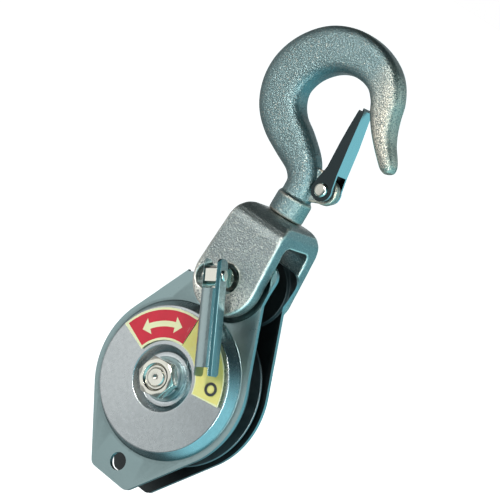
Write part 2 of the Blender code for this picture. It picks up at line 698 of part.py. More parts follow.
def swept(bm, line, around):
    """Sweep a rounded section along a centre line in the XZ plane."""
    rings = []
    for i, (x, z, w, t, power) in enumerate(line):
        before = line[max(i - 1, 0)]
        after = line[min(i + 1, len(line) - 1)]
        along = Vector((after[0] - before[0], 0.0, after[1] - before[1])).normalized()
        across = Vector((along.z, 0.0, -along.x))
        ring_verts = []
        for k in range(around):
            a = 2.0 * math.pi * k / around
            c = math.cos(a)
            s = math.sin(a)
            u = math.copysign(abs(c) ** (2.0 / power), c) * w
            v = math.copysign(abs(s) ** (2.0 / power), s) * t
            spot = Vector((x, 0.0, z - PIN_Z)) + across * u + Vector((0.0, v, 0.0))
            ring_verts.append(bm.verts.new(spot))
        rings.append(ring_verts)
    for one, two in zip(rings, rings[1:]):
        for k in range(around):
            j = (k + 1) % around
            bm.faces.new((one[k], one[j], two[j], two[k]))
    bm.faces.new(list(reversed(rings[0])))
    bm.faces.new(rings[-1])
    return bm


def upright(bm, outline, segs):
    """Revolve a (radius, z) outline about the Z axis."""
    turned(bm, outline, segs)
    quarter = Matrix.Rotation(math.radians(90.0), 3, "X")
    bmesh.ops.rotate(bm, cent=(0.0, 0.0, 0.0), matrix=quarter, verts=bm.verts)
    return bm


def hook(upper):
    obj = finish(swept(bmesh.new(), spline(HOOK_STATIONS, 2), 24), "hook", "forged", upper)
    base = CROWN_TOP + GAP
    top = COLLAR_TOP - PIN_Z
    neck = [(0.0, 24.6), (SHANK_R - 0.8, 24.6), (SHANK_R, 25.4), (SHANK_R, base), (COLLAR_R - 0.7, base)]
    neck += [(COLLAR_R, base + 0.7), (COLLAR_R, top - 1.6), (COLLAR_R - 0.7, top), (0.0, top)]
    combine(obj, upright(bmesh.new(), neck, 32), "UNION")
    ear = [(3.0, 132.6), (9.5, 133.2), (14.6, 135.2)]
    ear += arc(RIVET_X, RIVET_Z, 8.2, -75.0, 100.0, 13)
    ear += [(6.0, 153.6), (-2.0, 149.0)]
    tool = bmesh.new()
    prism(tool, [(x, z - PIN_Z) for x, z in ear], -EAR_HALF, EAR_HALF)
    combine(obj, tool, "UNION")
    tool = bmesh.new()
    prism(tool, circle(RIVET_X, RIVET_Z - PIN_Z, 2.5, 20), -20.0, 20.0)
    combine(obj, tool, "DIFFERENCE")
    tool = bmesh.new()
    prism(tool, circle(0.0, 28.4, 1.5, 16), -20.0, 20.0)
    combine(obj, tool, "DIFFERENCE")


def swivel_fittings(upper):
    """Washer, nut and cross pin that hold the hook shank inside the yoke's slot."""
    top = SLOT_TOP - GAP
    outline = [(SHANK_R + GAP, top - 1.4), (9.0, top - 1.4), (9.0, top), (SHANK_R + GAP, top)]
    finish(upright(bmesh.new(), outline, 36), "swivel_washer", "spring", upper)
    high = top - 1.4 - GAP
    bm = bmesh.new()
    prism(bm, hexagon(15.6, 0.0), high - 7.2, high, "Z")
    nut = finish(bm, "hook_nut", "polished", upper)
    tool = bmesh.new()
    prism(tool, circle(0.0, 0.0, SHANK_R + GAP, 32), 10.0, 50.0, "Z")
    combine(nut, tool, "DIFFERENCE")
    tool = bmesh.new()
    prism(tool, circle(0.0, 28.4, 1.5, 16), -20.0, 20.0)
    combine(nut, tool, "DIFFERENCE")
    bm = turned(bmesh.new(), [(0.0, -8.2), (1.0, -8.2), (1.2, -8.0), (1.2, 8.0), (1.0, 8.2), (0.0, 8.2)], 16)
    bmesh.ops.translate(bm, vec=(0.0, 0.0, 28.4), verts=bm.verts)
    finish(bm, "hook_nut_pin", "spring", upper)


def latch(latch_frame):
    """Sheet channel: two cheeks on the rivet, joined by a web along the outer edge."""
    side = arc(0.0, 0.0, 6.8, 170.0, 385.0, 17)
    side += [(5.2, 12.0), (4.4, 30.0), (3.0, LATCH_LEN - 1.5), (1.6, LATCH_LEN)]
    side += [(0.4, LATCH_LEN), (-0.6, LATCH_LEN - 2.0), (-1.6, 40.0), (-3.0, 14.0)]
    bm = bmesh.new()
    prism(bm, side, -CHEEK_OUT, CHEEK_OUT)
    obj = finish(bm, "safety_latch", "polished", latch_frame)
    hollow = [(-20.0, -20.0), (20.0, -20.0), (20.0, 11.0), (3.8, 11.6), (3.0, 30.0), (1.6, LATCH_LEN)]
    hollow.append((1.4, LATCH_LEN + 9.0))
    hollow += [(-20.0, LATCH_LEN + 9.0)]
    tool = bmesh.new()
    prism(tool, hollow, -CHEEK_IN, CHEEK_IN)
    combine(obj, tool, "DIFFERENCE")
    tool = bmesh.new()
    prism(tool, circle(0.0, 0.0, 2.5, 20), -20.0, 20.0)
    combine(obj, tool, "DIFFERENCE")
    for sign in (-1.0, 1.0):
        tool = bmesh.new()
        far = LATCH_LEN + 4.0
        low = sign * CHEEK_OUT
        wedge = [(sign * 12.0, 30.0), (low, 30.0), (sign * 5.0, far), (sign * 12.0, far)]
        prism(tool, wedge, -20.0, 20.0, "X")
        combine(obj, tool, "DIFFERENCE")


def latch_spring(latch_frame):
    """Torsion coil round the rivet with one leg along the latch and one towards the neck."""
    wire = 0.34
    coil_r = 4.0
    pitch = 0.76
    path = []
    turns = 1.75
    steps = 28
    start = math.radians(86.0)
    for i in range(steps + 1):
        a = start + turns * 2.0 * math.pi * i / steps
        y = -3.45 - pitch * turns * i / steps
        path.append(Vector((coil_r * math.cos(a), y, coil_r * math.sin(a))))
    first = path[0] + Vector((1.6, 0.0, 2.0))
    path = [Vector((2.3, -3.45, 24.0)), Vector((2.2, -3.45, 10.0)), first] + path[1:]
    last = path[-1]
    heading = Vector((-last.z, 0.0, last.x)).normalized()
    path.append(last + heading * 3.4)
    bm = bmesh.new()
    rings = []
    for i, spot in enumerate(path):
        before = path[max(i - 1, 0)]
        after = path[min(i + 1, len(path) - 1)]
        along = (after - before).normalized()
        side = along.cross(Vector((0.0, 1.0, 0.0))).normalized()
        up = side.cross(along)
        ring_verts = []
        for k in range(6):
            a = 2.0 * math.pi * k / 6
            ring_verts.append(bm.verts.new(spot + side * wire * math.cos(a) + up * wire * math.sin(a)))
        rings.append(ring_verts)
    for one, two in zip(rings, rings[1:]):
        for k in range(6):
            j = (k + 1) % 6
            bm.faces.new((one[k], one[j], two[j], two[k]))
    bm.faces.new(list(reversed(rings[0])))
    bm.faces.new(rings[-1])
    finish(bm, "latch_spring", "spring", latch_frame)


def latch_rivet(latch_frame):
    out = CHEEK_OUT + GAP
    half = [(2.2, out), (4.4, out), (4.4, out + 0.5), (3.6, out + 1.3), (2.0, out + 1.7), (0.0, out + 1.7)]
    outline = [(r, -y) for r, y in reversed(half)] + half
    finish(turned(bmesh.new(), outline, 24), "latch_rivet", "polished", latch_frame)


# ---------------------------------------------------------------- assembly

def build():
    for obj in list(bpy.data.objects):
        bpy.data.objects.remove(obj)
    frame_empty("block_frame", (-HANG_X, 0.0, -HANG_Z))
    side_plates()
    labels()
    sheave()
    bearing()
    axle()
    upper = frame_empty("upper_frame", (0.0, 0.0, PIN_Z), -LEAN)
    yoke(upper)
    lever_frame = frame_empty("lever_frame", (0.0, 0.0, PIN_Z), -LEVER_ANGLE)
    lock_pin(lever_frame)
    fold_frame = frame_empty("fold_frame", (0.0, CROSS_PIN_Y, 0.0), 0.0, lever_frame)
    lever(fold_frame)
    cross_pin(fold_frame)
    hook(upper)
    swivel_fittings(upper)
    latch_frame = frame_empty("latch_frame", (RIVET_X, 0.0, RIVET_Z - PIN_Z), -LATCH_LEAN, upper)
    latch(latch_frame)
    latch_spring(latch_frame)
    latch_rivet(latch_frame)


build()
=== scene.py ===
"""Looks of the snatch block with swivel safety hook: detailed pieces, materials, studio, camera.

Lengths below are in millimetres, measured from the centre of the sheave like the CAD's own.
BLOCK and UPPER carry them into the shared frame, whose origin is the bearing point in the hook:
BLOCK for the plates and what they hold, UPPER for the leaning yoke and hook, from the lock pin up.
"""

import json
import math

import bmesh
import bpy
import numpy as np
from mathutils import Matrix, Vector
from mathutils.geometry import delaunay_2d_cdt


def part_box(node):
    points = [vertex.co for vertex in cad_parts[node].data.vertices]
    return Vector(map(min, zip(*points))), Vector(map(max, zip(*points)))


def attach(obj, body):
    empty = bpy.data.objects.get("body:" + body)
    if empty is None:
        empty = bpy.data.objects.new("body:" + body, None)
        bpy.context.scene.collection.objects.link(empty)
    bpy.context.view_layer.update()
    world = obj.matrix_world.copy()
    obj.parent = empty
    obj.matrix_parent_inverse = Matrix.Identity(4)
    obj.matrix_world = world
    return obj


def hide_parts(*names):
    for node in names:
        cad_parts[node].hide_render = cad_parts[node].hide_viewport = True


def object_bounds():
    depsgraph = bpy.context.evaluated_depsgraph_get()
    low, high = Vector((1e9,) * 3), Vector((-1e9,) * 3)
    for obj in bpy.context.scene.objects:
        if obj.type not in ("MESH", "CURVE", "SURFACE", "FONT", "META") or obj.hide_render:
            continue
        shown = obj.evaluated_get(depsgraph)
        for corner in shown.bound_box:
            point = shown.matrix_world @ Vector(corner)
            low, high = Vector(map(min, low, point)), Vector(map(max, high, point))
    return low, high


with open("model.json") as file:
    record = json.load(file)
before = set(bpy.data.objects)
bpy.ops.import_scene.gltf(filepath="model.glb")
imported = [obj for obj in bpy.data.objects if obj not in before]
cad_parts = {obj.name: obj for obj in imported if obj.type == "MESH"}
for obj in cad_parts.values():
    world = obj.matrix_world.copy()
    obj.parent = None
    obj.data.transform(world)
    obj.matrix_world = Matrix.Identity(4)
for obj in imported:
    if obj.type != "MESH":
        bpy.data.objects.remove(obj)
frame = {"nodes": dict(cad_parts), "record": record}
CAD_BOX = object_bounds()
NODES = frame["nodes"]
MM = 0.001

# ---------------------------------------------------------------- layout of the part

HANG_X = -12.8            # bearing point inside the hook
HANG_Z = 209.0
GAP = 0.3                 # clearance between neighbouring parts
PIN_Z = 70.5              # height of the lock pin above the axle
LEAN = 2.0                # lean of yoke and hook towards -X, degrees

RIM_Y = 14.7              # outer face of the plates' flat rim
DISH_H = 9.8              # height of the raised dish above the rim
WELL_H = DISH_H - 4.5     # height of the well's floor above the rim
SHEET = 3.0
PLATE_R = 52.0
PLATE_SEGS = 120
NECK_TILT = 25.0
NECK_HALF = 24.5
NECK_TOP = 92.0
NECK_CORNER = 8.0
TAIL_TILT = 33.5
TAIL_END = -70.0
TAIL_CORNER = 5.2
TAIL_EYE_Z = -58.5
TAIL_EYE_R = 5.5
JOGGLE = 2.5              # inward step of the neck
JOGGLE_R = 25.2           # its reach round the lock pin
JOGGLE_RAMP = 1.8
JOGGLE_FLOOR_R = 48.4     # it fades out at this radius from the axle
SEAT_R = 7.3              # hole for the lock pin
MOUTH_HALF = 4.5          # half height of the slot that leads into it
MOUTH_START = 5.8         # where the slot leaves the seat, in mm round the axle
MOUTH_SPAN = 26.0         # where it ends, in degrees about the axle

BOLT_R = 7.0
NUT_AF = 22.0
WASHER = 1.6
BOLT_END_Y = -31.8
THREAD_IN_Y = -18.0       # inner end of the bolt's thread

LABEL_IN_R = 22.8
LABEL_OUT_R = 42.2
LABEL_RED = (90.2, 163.2)
LABEL_YELLOW = (9.5, 89.4)
LABEL_Y = -(RIM_Y + DISH_H + GAP)
LABEL_SHEET = 0.18
RING_X = 31.9
RING_Z = 13.3

SHEAVE_R = 49.5
SHEAVE_RIM_HALF = 8.8
SHEAVE_HUB_HALF = 10.0
GROOVE_ROOT_R = 37.5
ROPE_R = 5.5
BALL_COUNT = 9
BALL_R = 3.1              # a little under the race's own 3.2

CROSS_PIN_Y = -37.0       # hinge of the drop lever
LEVER_ANGLE = 31.0
LEVER_HALF = 5.8
LEVER_CROWN = 1.5         # how far the middle of its web stands forward

FORGING_VOXEL = 0.62
FORGING_PASSES = 5
CROWN_TOP = 47.0          # top of the yoke, above the lock pin
COLLAR_R = 11.25
COLLAR_TOP = 131.0
SHANK_R = 6.0
RIVET_X = 15.5
RIVET_Z = 143.5
RIVET_HOLE_R = 2.5
EAR_HALF = 2.8
EAR_R = 8.2
NUT_PIN_Z = 28.4          # cross pin of the hook's nut, above the lock pin
NUT_PIN_HOLE_R = 1.5
LATCH_LEAN = 6.5
WIRE_R = 0.34             # latch spring
WIRE_SIDES = 14
COIL_R = 4.0
COIL_Y = -3.45
COIL_PITCH = 0.76
COIL_TURNS = 1.75

FULL_CURVE = 700.0         # curvature, in 1/m, that counts as a sharp ridge or hollow
BUMP_REACH = 0.0004       # metres

BLOCK = Matrix.Translation((-HANG_X, 0.0, -HANG_Z))
UPPER = BLOCK @ Matrix.Translation((0.0, 0.0, PIN_Z)) @ Matrix.Rotation(math.radians(-LEAN), 4, "Y")

BODY_OF = {n: body for body, members in frame["record"]["behaviour"]["bodies"].items() for n in members}


# ---------------------------------------------------------------- materials

class Nodes:
    """Short hand for building a node material around one Principled shader."""

    def __init__(self, name):
        self.mat = bpy.data.materials.new(name)
        self.mat.use_nodes = True
        self.tree = self.mat.node_tree
        self.bsdf = self.tree.nodes["Principled BSDF"]
        coords = self.tree.nodes.new("ShaderNodeTexCoord")
        self.where = coords.outputs["Object"]

    def link(self, a, b):
        self.tree.links.new(a, b)

    def add(self, kind, **inputs):
        node = self.tree.nodes.new(kind)
        for key, value in inputs.items():
            socket = node.inputs[key.replace("_", " ")]
            if isinstance(value, bpy.types.NodeSocket):
                self.link(value, socket)
            else:
                socket.default_value = value
        return node

    def noise(self, scale, detail=4.0, rough=0.55, stretch=None, distort=0.0):
        where = self.where
        if stretch:
            where = self.add("ShaderNodeMapping", Vector=where, Scale=stretch).outputs["Vector"]
        node = self.add("ShaderNodeTexNoise", Vector=where, Scale=scale, Detail=detail,
                        Roughness=rough, Distortion=distort)
        return node.outputs["Fac"]

    def along(self, axis):
        split = self.add("ShaderNodeSeparateXYZ", Vector=self.where)
        return split.outputs[axis]

    def cells(self, scale):
        node = self.add("ShaderNodeTexVoronoi", Vector=self.where, Scale=scale)
        return node.outputs["Distance"]

    def band(self, value, low, high, to_low=0.0, to_high=1.0):
        node = self.tree.nodes.new("ShaderNodeMapRange")
        self.link(value, node.inputs["Value"])
        for key, number in (("From Min", low), ("From Max", high), ("To Min", to_low), ("To Max", to_high)):
            node.inputs[key].default_value = number
        return node.outputs["Result"]

    def mix(self, fac, a, b):
        node = self.tree.nodes.new("ShaderNodeMix")
        node.data_type = "RGBA"
        sockets = [s for s in node.inputs if s.type == "RGBA"]
        for value, socket in ((fac, node.inputs["Factor"]), (a, sockets[0]), (b, sockets[1])):
            if isinstance(value, bpy.types.NodeSocket):
                self.link(value, socket)
            elif isinstance(value, tuple):
                socket.default_value = (*value, 1.0)
            else:
                socket.default_value = value
        return [s for s in node.outputs if s.type == "RGBA"][0]

    def math(self, operation, a, b):
        node = self.tree.nodes.new("ShaderNodeMath")
        node.operation = operation
        for value, socket in ((a, node.inputs[0]), (b, node.inputs[1])):
            if isinstance(value, bpy.types.NodeSocket):
                self.link(value, socket)
            else:
                socket.default_value = value
        return node.outputs["Value"]

    def wear_and_painted_light(self):
        node = self.tree.nodes.new("ShaderNodeAttribute")
        node.attribute_name = "curve"
        return node.outputs["Fac"]

    def bump(self, height, strength, reach=BUMP_REACH):
        node = self.add("ShaderNodeBump", Height=height, Strength=strength, Distance=reach)
        self.link(node.outputs["Normal"], self.bsdf.inputs["Normal"])


def forged(name, base, bright, dark, axis, start, end):
    """Plated forging: blasted grain, cloudy colour, worn and painted-highlight ridges, painted shade in
    hollows.

    Along the named axis a painted highlight, bright with dark flecks, is blended in from start to end, in
    metres.
    """
    n = Nodes(name)
    clouds = n.band(n.noise(38.0, 5.0, 0.6), 0.34, 0.68)
    grain = n.noise(1500.0, 3.0, 0.62)
    pits = n.cells(900.0)
    speck = n.band(n.noise(1100.0, 2.0, 0.5), 0.57, 0.70)
    body = n.mix(clouds, tuple(0.84 * c for c in base), base)
    body = n.mix(n.band(grain, 0.36, 0.60), tuple(0.58 * c for c in base), body)
    body = n.mix(n.math("MULTIPLY", speck, 0.35), body, bright)
    # Painted highlight: along the axis, from start to end, the colour turns bright with dark flecks.
    glare_reach = n.math("ADD", n.along(axis), n.math("MULTIPLY", clouds, 0.006))
    painted_glare = n.mix(n.band(grain, 0.40, 0.50), dark, bright)
    body = n.mix(n.band(glare_reach, start, end, 0.0, 0.66), body, painted_glare)
    # Ridges brighter: partly bare wear, partly painted highlight.
    ridge = n.band(n.math("ADD", n.wear_and_painted_light(), n.math("MULTIPLY", grain, 0.35)), 0.34, 0.78)
    body = n.mix(ridge, body, bright)
    # Painted shade: darker in the hollows.
    hollow_shade = n.math("SUBTRACT", n.math("MULTIPLY", clouds, 0.12), n.wear_and_painted_light())
    body = n.mix(n.band(hollow_shade, 0.16, 0.75, 0.0, 0.8), body, dark)
    n.link(body, n.bsdf.inputs["Base Color"])
    dull = n.math("SUBTRACT", grain, n.math("MULTIPLY", ridge, 0.25))
    n.link(n.band(dull, 0.1, 0.7, 0.25, 0.44), n.bsdf.inputs["Roughness"])
    n.bsdf.inputs["Metallic"].default_value = 0.92
    height = n.math("ADD", n.math("MULTIPLY", grain, 0.55), n.math("MULTIPLY", pits, 0.45))
    height = n.math("ADD", height, n.math("MULTIPLY", n.noise(420.0, 2.0, 0.5), 0.3))
    n.bump(height, 0.95)
    return n.mat


def plated(name, base, rough, streak=None, grain=420.0, depth=0.10, spread=0.07, shade=0.86):
    """Plated or polished steel: faint waviness, fine rubbing marks, edges brighter as wear and painted
    highlight, painted shade in hollows.
    """
    n = Nodes(name)
    film = n.band(n.noise(26.0, 5.0, 0.62, distort=0.6), 0.32, 0.70)
    fine = n.noise(grain, 3.0, 0.6, stretch=streak)
    specks = n.band(n.noise(1300.0, 2.0, 0.5), 0.60, 0.72)
    body = n.mix(film, tuple(shade * c for c in base), base)
    body = n.mix(n.band(fine, 0.35, 0.65, 0.0, 0.45), body, tuple(0.80 * c for c in base))
    body = n.mix(n.math("MULTIPLY", specks, 0.22), body, tuple(0.5 * c for c in base))
    # Edges brighter: partly wear, partly painted highlight.
    edge = n.band(n.wear_and_painted_light(), 0.25, 0.9)
    body = n.mix(edge, body, tuple(min(1.0, 1.18 * c) for c in base))
    # Painted shade: darker in the hollows.
    hollow = n.band(n.math("MULTIPLY", n.wear_and_painted_light(), -1.0), 0.12, 0.8, 0.0, 0.6)
    body = n.mix(hollow, body, tuple(0.34 * c for c in base))
    n.link(body, n.bsdf.inputs["Base Color"])
    gloss = n.math("ADD", n.math("MULTIPLY", film, 0.5), n.math("MULTIPLY", fine, 0.5))
    n.link(n.band(gloss, 0.25, 0.75, rough - spread * 0.5, rough + spread), n.bsdf.inputs["Roughness"])
    n.bsdf.inputs["Metallic"].default_value = 1.0
    height = n.math("ADD", fine, n.math("MULTIPLY", n.noise(70.0, 2.0, 0.5), 0.8))
    n.bump(height, depth)
    return n.mat


def printed(name, colour, dull, rough=0.36):
    """Printed film: slight mottling, scuffs and dust, faint orange peel."""
    n = Nodes(name)
    tone = n.band(n.noise(90.0, 4.0, 0.6), 0.3, 0.7)
    dots = n.noise(1500.0, 2.0, 0.5)
    scuff = n.band(n.noise(210.0, 5.0, 0.7, stretch=(1.0, 1.0, 0.22)), 0.62, 0.74)
    body = n.mix(tone, dull, colour)
    body = n.mix(n.band(dots, 0.40, 0.62, 0.0, 0.25), body, dull)
    body = n.mix(n.math("MULTIPLY", scuff, 0.30), body, (0.72, 0.70, 0.66))
    n.link(body, n.bsdf.inputs["Base Color"])
    n.link(n.band(tone, 0.0, 1.0, rough, rough + 0.14), n.bsdf.inputs["Roughness"])
    n.bsdf.inputs["Coat Weight"].default_value = 0.25
    n.bsdf.inputs["Coat Roughness"].default_value = 0.18
    n.bump(dots, 0.05, 0.5 * BUMP_REACH)
    return n.mat


LENGTHWISE = (1.0, 1.0, 0.15)     # scale of the noise that draws rubbing marks
LATCHWISE = (1.0, 1.0, 0.2)
ROUND = (0.2, 1.0, 0.2)
# The hook's base is darker and bluer than the yoke's as painted shade, for light falling off towards the
# top; from x 16 to 40 mm its right limb takes a painted highlight.
HOOK_MAT = forged("hook_plating", (0.24, 0.345, 0.36), (0.82, 0.71, 0.58), (0.06, 0.10, 0.11),
                  "X", 0.016, 0.040)
# Painted light: the yoke's legs are brighter below the lock pin, from z -128 to -143 mm.
YOKE_MAT = forged("yoke_plating", (0.37, 0.42, 0.42), (1.0, 0.96, 0.88), (0.09, 0.12, 0.13),
                  "Z", -0.128, -0.143)
SHEET_MAT = plated("sheet_plating", (0.27, 0.36, 0.37), 0.30, depth=0.07)
# Painted light: a brighter, glossier copy of the sheet plating, for the raised dish.
LIT_DISH_MAT = plated("dish_plating_painted_light", (0.62, 0.66, 0.68), 0.24, depth=0.06)
POLISHED = plated("polished_plating", (0.72, 0.71, 0.64), 0.12, grain=300.0, depth=0.06, spread=0.06)
# Painted shade: near-black copy of the latch plating, for the latch's cheeks.
CHEEK_SHADE_MAT = plated("latch_cheek_painted_shade", (0.03, 0.04, 0.043), 0.18, LATCHWISE, grain=500.0, depth=0.16)
LATCH_MAT = plated("latch_plating", (0.46, 0.54, 0.55), 0.18, LATCHWISE, grain=500.0, depth=0.12)
LEVER_MAT = plated("lever_plating", (0.31, 0.39, 0.40), 0.14, LENGTHWISE, grain=700.0, depth=0.09)
SPRING_MAT = plated("spring_steel", (0.46, 0.47, 0.48), 0.30, grain=800.0, shade=0.7)
INNER_MAT = plated("inner_steel", (0.40, 0.42, 0.43), 0.34, grain=500.0, depth=0.12, shade=0.65)
# Painted shade: near-black steel for the plate faces that look inwards, between the plates.
INNER_SHADE_MAT = plated("inner_painted_shade", (0.055, 0.06, 0.062), 0.42, grain=260.0, depth=0.14, shade=0.5)
# Painted shade: the sheave in dark steel, with round rubbing marks.
SHEAVE_SHADE_MAT = plated("rope_marked_painted_shade_steel", (0.20, 0.21, 0.215), 0.34, ROUND, grain=900.0, depth=0.12, shade=0.5)
RED = printed("label_red", (0.72, 0.010, 0.040), (0.60, 0.008, 0.030))
YELLOW = printed("label_yellow", (0.87, 0.76, 0.26), (0.80, 0.66, 0.17))
CREAM = printed("label_cream", (0.90, 0.85, 0.55), (0.84, 0.77, 0.44))
INK = printed("label_ink", (0.02, 0.02, 0.022), (0.045, 0.045, 0.05))


# ---------------------------------------------------------------- mesh helpers

def curvature(mesh, passes):
    """Point attribute "curve", from -1 in hollows to +1 on ridges, spread by a number of passes."""
    count = len(mesh.vertices)
    co = np.zeros(count * 3)
    no = np.zeros(count * 3)
    mesh.vertices.foreach_get("co", co)
    mesh.vertex_normals.foreach_get("vector", no)
    co = co.reshape(-1, 3)
    no = no.reshape(-1, 3)
    pairs = np.zeros(len(mesh.edges) * 2, dtype=np.int64)
    mesh.edges.foreach_get("vertices", pairs)
    a, b = pairs.reshape(-1, 2).T
    step = co[b] - co[a]
    length = np.maximum((step ** 2).sum(axis=1), 1e-12)
    bend = ((no[b] - no[a]) * step).sum(axis=1) / length
    ties = np.bincount(a, minlength=count) + np.bincount(b, minlength=count)
    ties = np.maximum(ties, 1)
    value = (np.bincount(a, bend, count) + np.bincount(b, bend, count)) / ties
    for _ in range(passes):
        spread = np.bincount(a, value[b], count) + np.bincount(b, value[a], count)
        value = 0.5 * value + 0.5 * spread / ties
    layer = mesh.attributes.new("curve", "FLOAT", "POINT")
    layer.data.foreach_set("value", np.clip(value / FULL_CURVE, -1.0, 1.0).astype(np.float32))


def piece(bm, name, node, mat, move=BLOCK, bevel=0.0, sharp=38.0, passes=1, segments=2):
    """Turn a millimetre bmesh into a finished object that stands for a CAD node and rides its body."""
    bmesh.ops.remove_doubles(bm, verts=bm.verts, dist=1e-4)
    bmesh.ops.recalc_face_normals(bm, faces=bm.faces)
    bmesh.ops.transform(bm, matrix=Matrix.Diagonal((MM, MM, MM, 1.0)), verts=bm.verts)
    metric = move.copy()
    metric.translation = move.translation * MM
    bmesh.ops.transform(bm, matrix=metric, verts=bm.verts)
    mesh = bpy.data.meshes.new(name)
    bm.to_mesh(mesh)
    bm.free()
    obj = bpy.data.objects.new(name, mesh)
    bpy.context.scene.collection.objects.link(obj)
    if bevel:
        mod = obj.modifiers.new("edges", "BEVEL")
        mod.width = bevel * MM
        mod.segments = segments
        mod.limit_method = "ANGLE"
        mod.angle_limit = math.radians(sharp)
        mod.use_clamp_overlap = True
        bake(obj)
    mesh = obj.data
    for poly in mesh.polygons:
        poly.use_smooth = True
    mesh.set_sharp_from_angle(angle=math.radians(60.0 if bevel else sharp))
    curvature(mesh, passes)
    mesh.materials.clear()
    mesh.materials.append(mat)
    mod = obj.modifiers.new("flat_faces", "WEIGHTED_NORMAL")
    mod.keep_sharp = True
    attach(obj, BODY_OF[node])
    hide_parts(node)
    return obj


def bake(obj):
    """Apply an object's modifiers to its mesh."""
    bpy.context.view_layer.update()
    graph = bpy.context.evaluated_depsgraph_get()
    mesh = bpy.data.meshes.new_from_object(obj.evaluated_get(graph))
    obj.modifiers.clear()
    old = obj.data
    obj.data = mesh
    if old.users == 0:
        bpy.data.meshes.remove(old)


def temporary(bm):
    """A throwaway object that holds a bmesh while a modifier works on it."""
    mesh = bpy.data.meshes.new("shape")
    bmesh.ops.recalc_face_normals(bm, faces=bm.faces)
    bm.to_mesh(mesh)
    bm.free()
    obj = bpy.data.objects.new("shape", mesh)
    bpy.context.scene.collection.objects.link(obj)
    return obj


def combined(bm, *steps):
    """Boolean millimetre bmeshes into bm in turn and return the result as a bmesh."""
    obj = temporary(bm)
    for operation, tool_bm in steps:
        tool = temporary(tool_bm)
        mod = obj.modifiers.new("cut", "BOOLEAN")
        mod.operation = operation
        mod.solver = "EXACT"
        mod.object = tool
        bake(obj)
        bpy.data.meshes.remove(tool.data)
    out = bmesh.new()
    out.from_mesh(obj.data)
    bpy.data.meshes.remove(obj.data)
    return out


def remeshed(bm):
    """Voxel remesh and relax a bmesh, so that its edges and joins round off like a forging's."""
    obj = temporary(bm)
    mod = obj.modifiers.new("grid", "REMESH")
    mod.mode = "VOXEL"
    mod.voxel_size = FORGING_VOXEL
    mod = obj.modifiers.new("relax", "SMOOTH")
    mod.factor = 0.5
    mod.iterations = FORGING_PASSES
    bake(obj)
    out = bmesh.new()
    out.from_mesh(obj.data)
    bpy.data.meshes.remove(obj.data)
    return out


def cad_mm(node, move=BLOCK):
    """A CAD node's mesh as a welded bmesh, in millimetres and with move undone."""
    bm = bmesh.new()
    bm.from_mesh(NODES[node].data)
    bmesh.ops.transform(bm, matrix=Matrix.Diagonal((1e3, 1e3, 1e3, 1.0)), verts=bm.verts)
    bmesh.ops.transform(bm, matrix=move.inverted(), verts=bm.verts)
    bmesh.ops.remove_doubles(bm, verts=bm.verts, dist=2e-3)
    bmesh.ops.dissolve_limit(bm, angle_limit=math.radians(0.4), verts=bm.verts, edges=bm.edges)
    return bm


def refined(node, mat, bevel, sharp=38.0):
    """The CAD node with its edges eased and its curved faces smooth."""
    return piece(cad_mm(node), node + "_finished", node, mat, bevel=bevel, sharp=sharp)


def turned(outline, segs):
    """Revolve a closed (radius, y) outline about the Y axis."""
    bm = bmesh.new()
    rings = []
    for r, y in outline:
        if r < 1e-6:
            rings.append([bm.verts.new((0.0, y, 0.0))])
            continue
        steps = [2.0 * math.pi * i / segs for i in range(segs)]
        rings.append([bm.verts.new((r * math.cos(a), y, r * math.sin(a))) for a in steps])
    for one, two in zip(rings, rings[1:] + rings[:1]):
        if len(one) == 1 and len(two) == 1:
            continue
        for i in range(segs):
            j = (i + 1) % segs
            loop = []
            for v in (one[i % len(one)], one[j % len(one)], two[j % len(two)], two[i % len(two)]):
                if v not in loop:
                    loop.append(v)
            bm.faces.new(loop)
    return bm


def skin(bm, rings):
    """Join equal rings of vertices into a tube and close both ends."""
    for one, two in zip(rings, rings[1:]):
        for k in range(len(one)):
            j = (k + 1) % len(one)
            bm.faces.new((one[k], one[j], two[j], two[k]))
    bm.faces.new(list(reversed(rings[0])))
    bm.faces.new(rings[-1])


def upright(outline, segs):
    """Revolve a closed (radius, z) outline about the Z axis."""
    bm = turned(outline, segs)
    quarter = Matrix.Rotation(math.radians(90.0), 3, "X")
    bmesh.ops.rotate(bm, cent=(0.0, 0.0, 0.0), matrix=quarter, verts=bm.verts)
    return bm


def prism(points, low, high):
    """Extrude a flat outline of (x, z) points along Y."""
    bm = bmesh.new()
    a = [bm.verts.new((x, low, z)) for x, z in points]
    b = [bm.verts.new((x, high, z)) for x, z in points]
    bm.faces.new(a)
    bm.faces.new(list(reversed(b)))
    for i in range(len(points)):
        j = (i + 1) % len(points)
        bm.faces.new((a[i], b[i], b[j], a[j]))
    return bm


def arc(cx, cz, r, a0, a1, count):
    """Points on an arc from a0 to a1 degrees, both ends included."""
    steps = [math.radians(a0 + (a1 - a0) * i / (count - 1)) for i in range(count)]
    return [(cx + r * math.cos(a), cz + r * math.sin(a)) for a in steps]


def circle(cx, cz, r, count, start=0.0):
    """Points round a circle, the first at start degrees."""
    steps = [math.radians(start) + 2.0 * math.pi * i / count for i in range(count)]
    return [(cx + r * math.cos(a), cz + r * math.sin(a)) for a in steps]


def filleted(points, steps=5):
    """Open polyline of (a, b, radius) corners with each corner rounded by its radius."""
    out = [points[0][:2]]
    for before, here, after in zip(points, points[1:], points[2:]):
        corner = Vector(here[:2])
        back = (Vector(before[:2]) - corner).normalized()
        ahead = (Vector(after[:2]) - corner).normalized()
        half = back.angle(ahead) / 2.0
        reach = here[2] / math.tan(half)
        middle = corner + (back + ahead).normalized() * (here[2] / math.sin(half))
        first = corner + back * reach - middle
        last = corner + ahead * reach - middle
        for i in range(steps + 1):
            t = i / steps
            turn = first.slerp(last, t) if first.angle(last) > 1e-4 else first
            out.append(tuple(middle + turn))
    out.append(points[-1][:2])
    return out


# ---------------------------------------------------------------- side plates

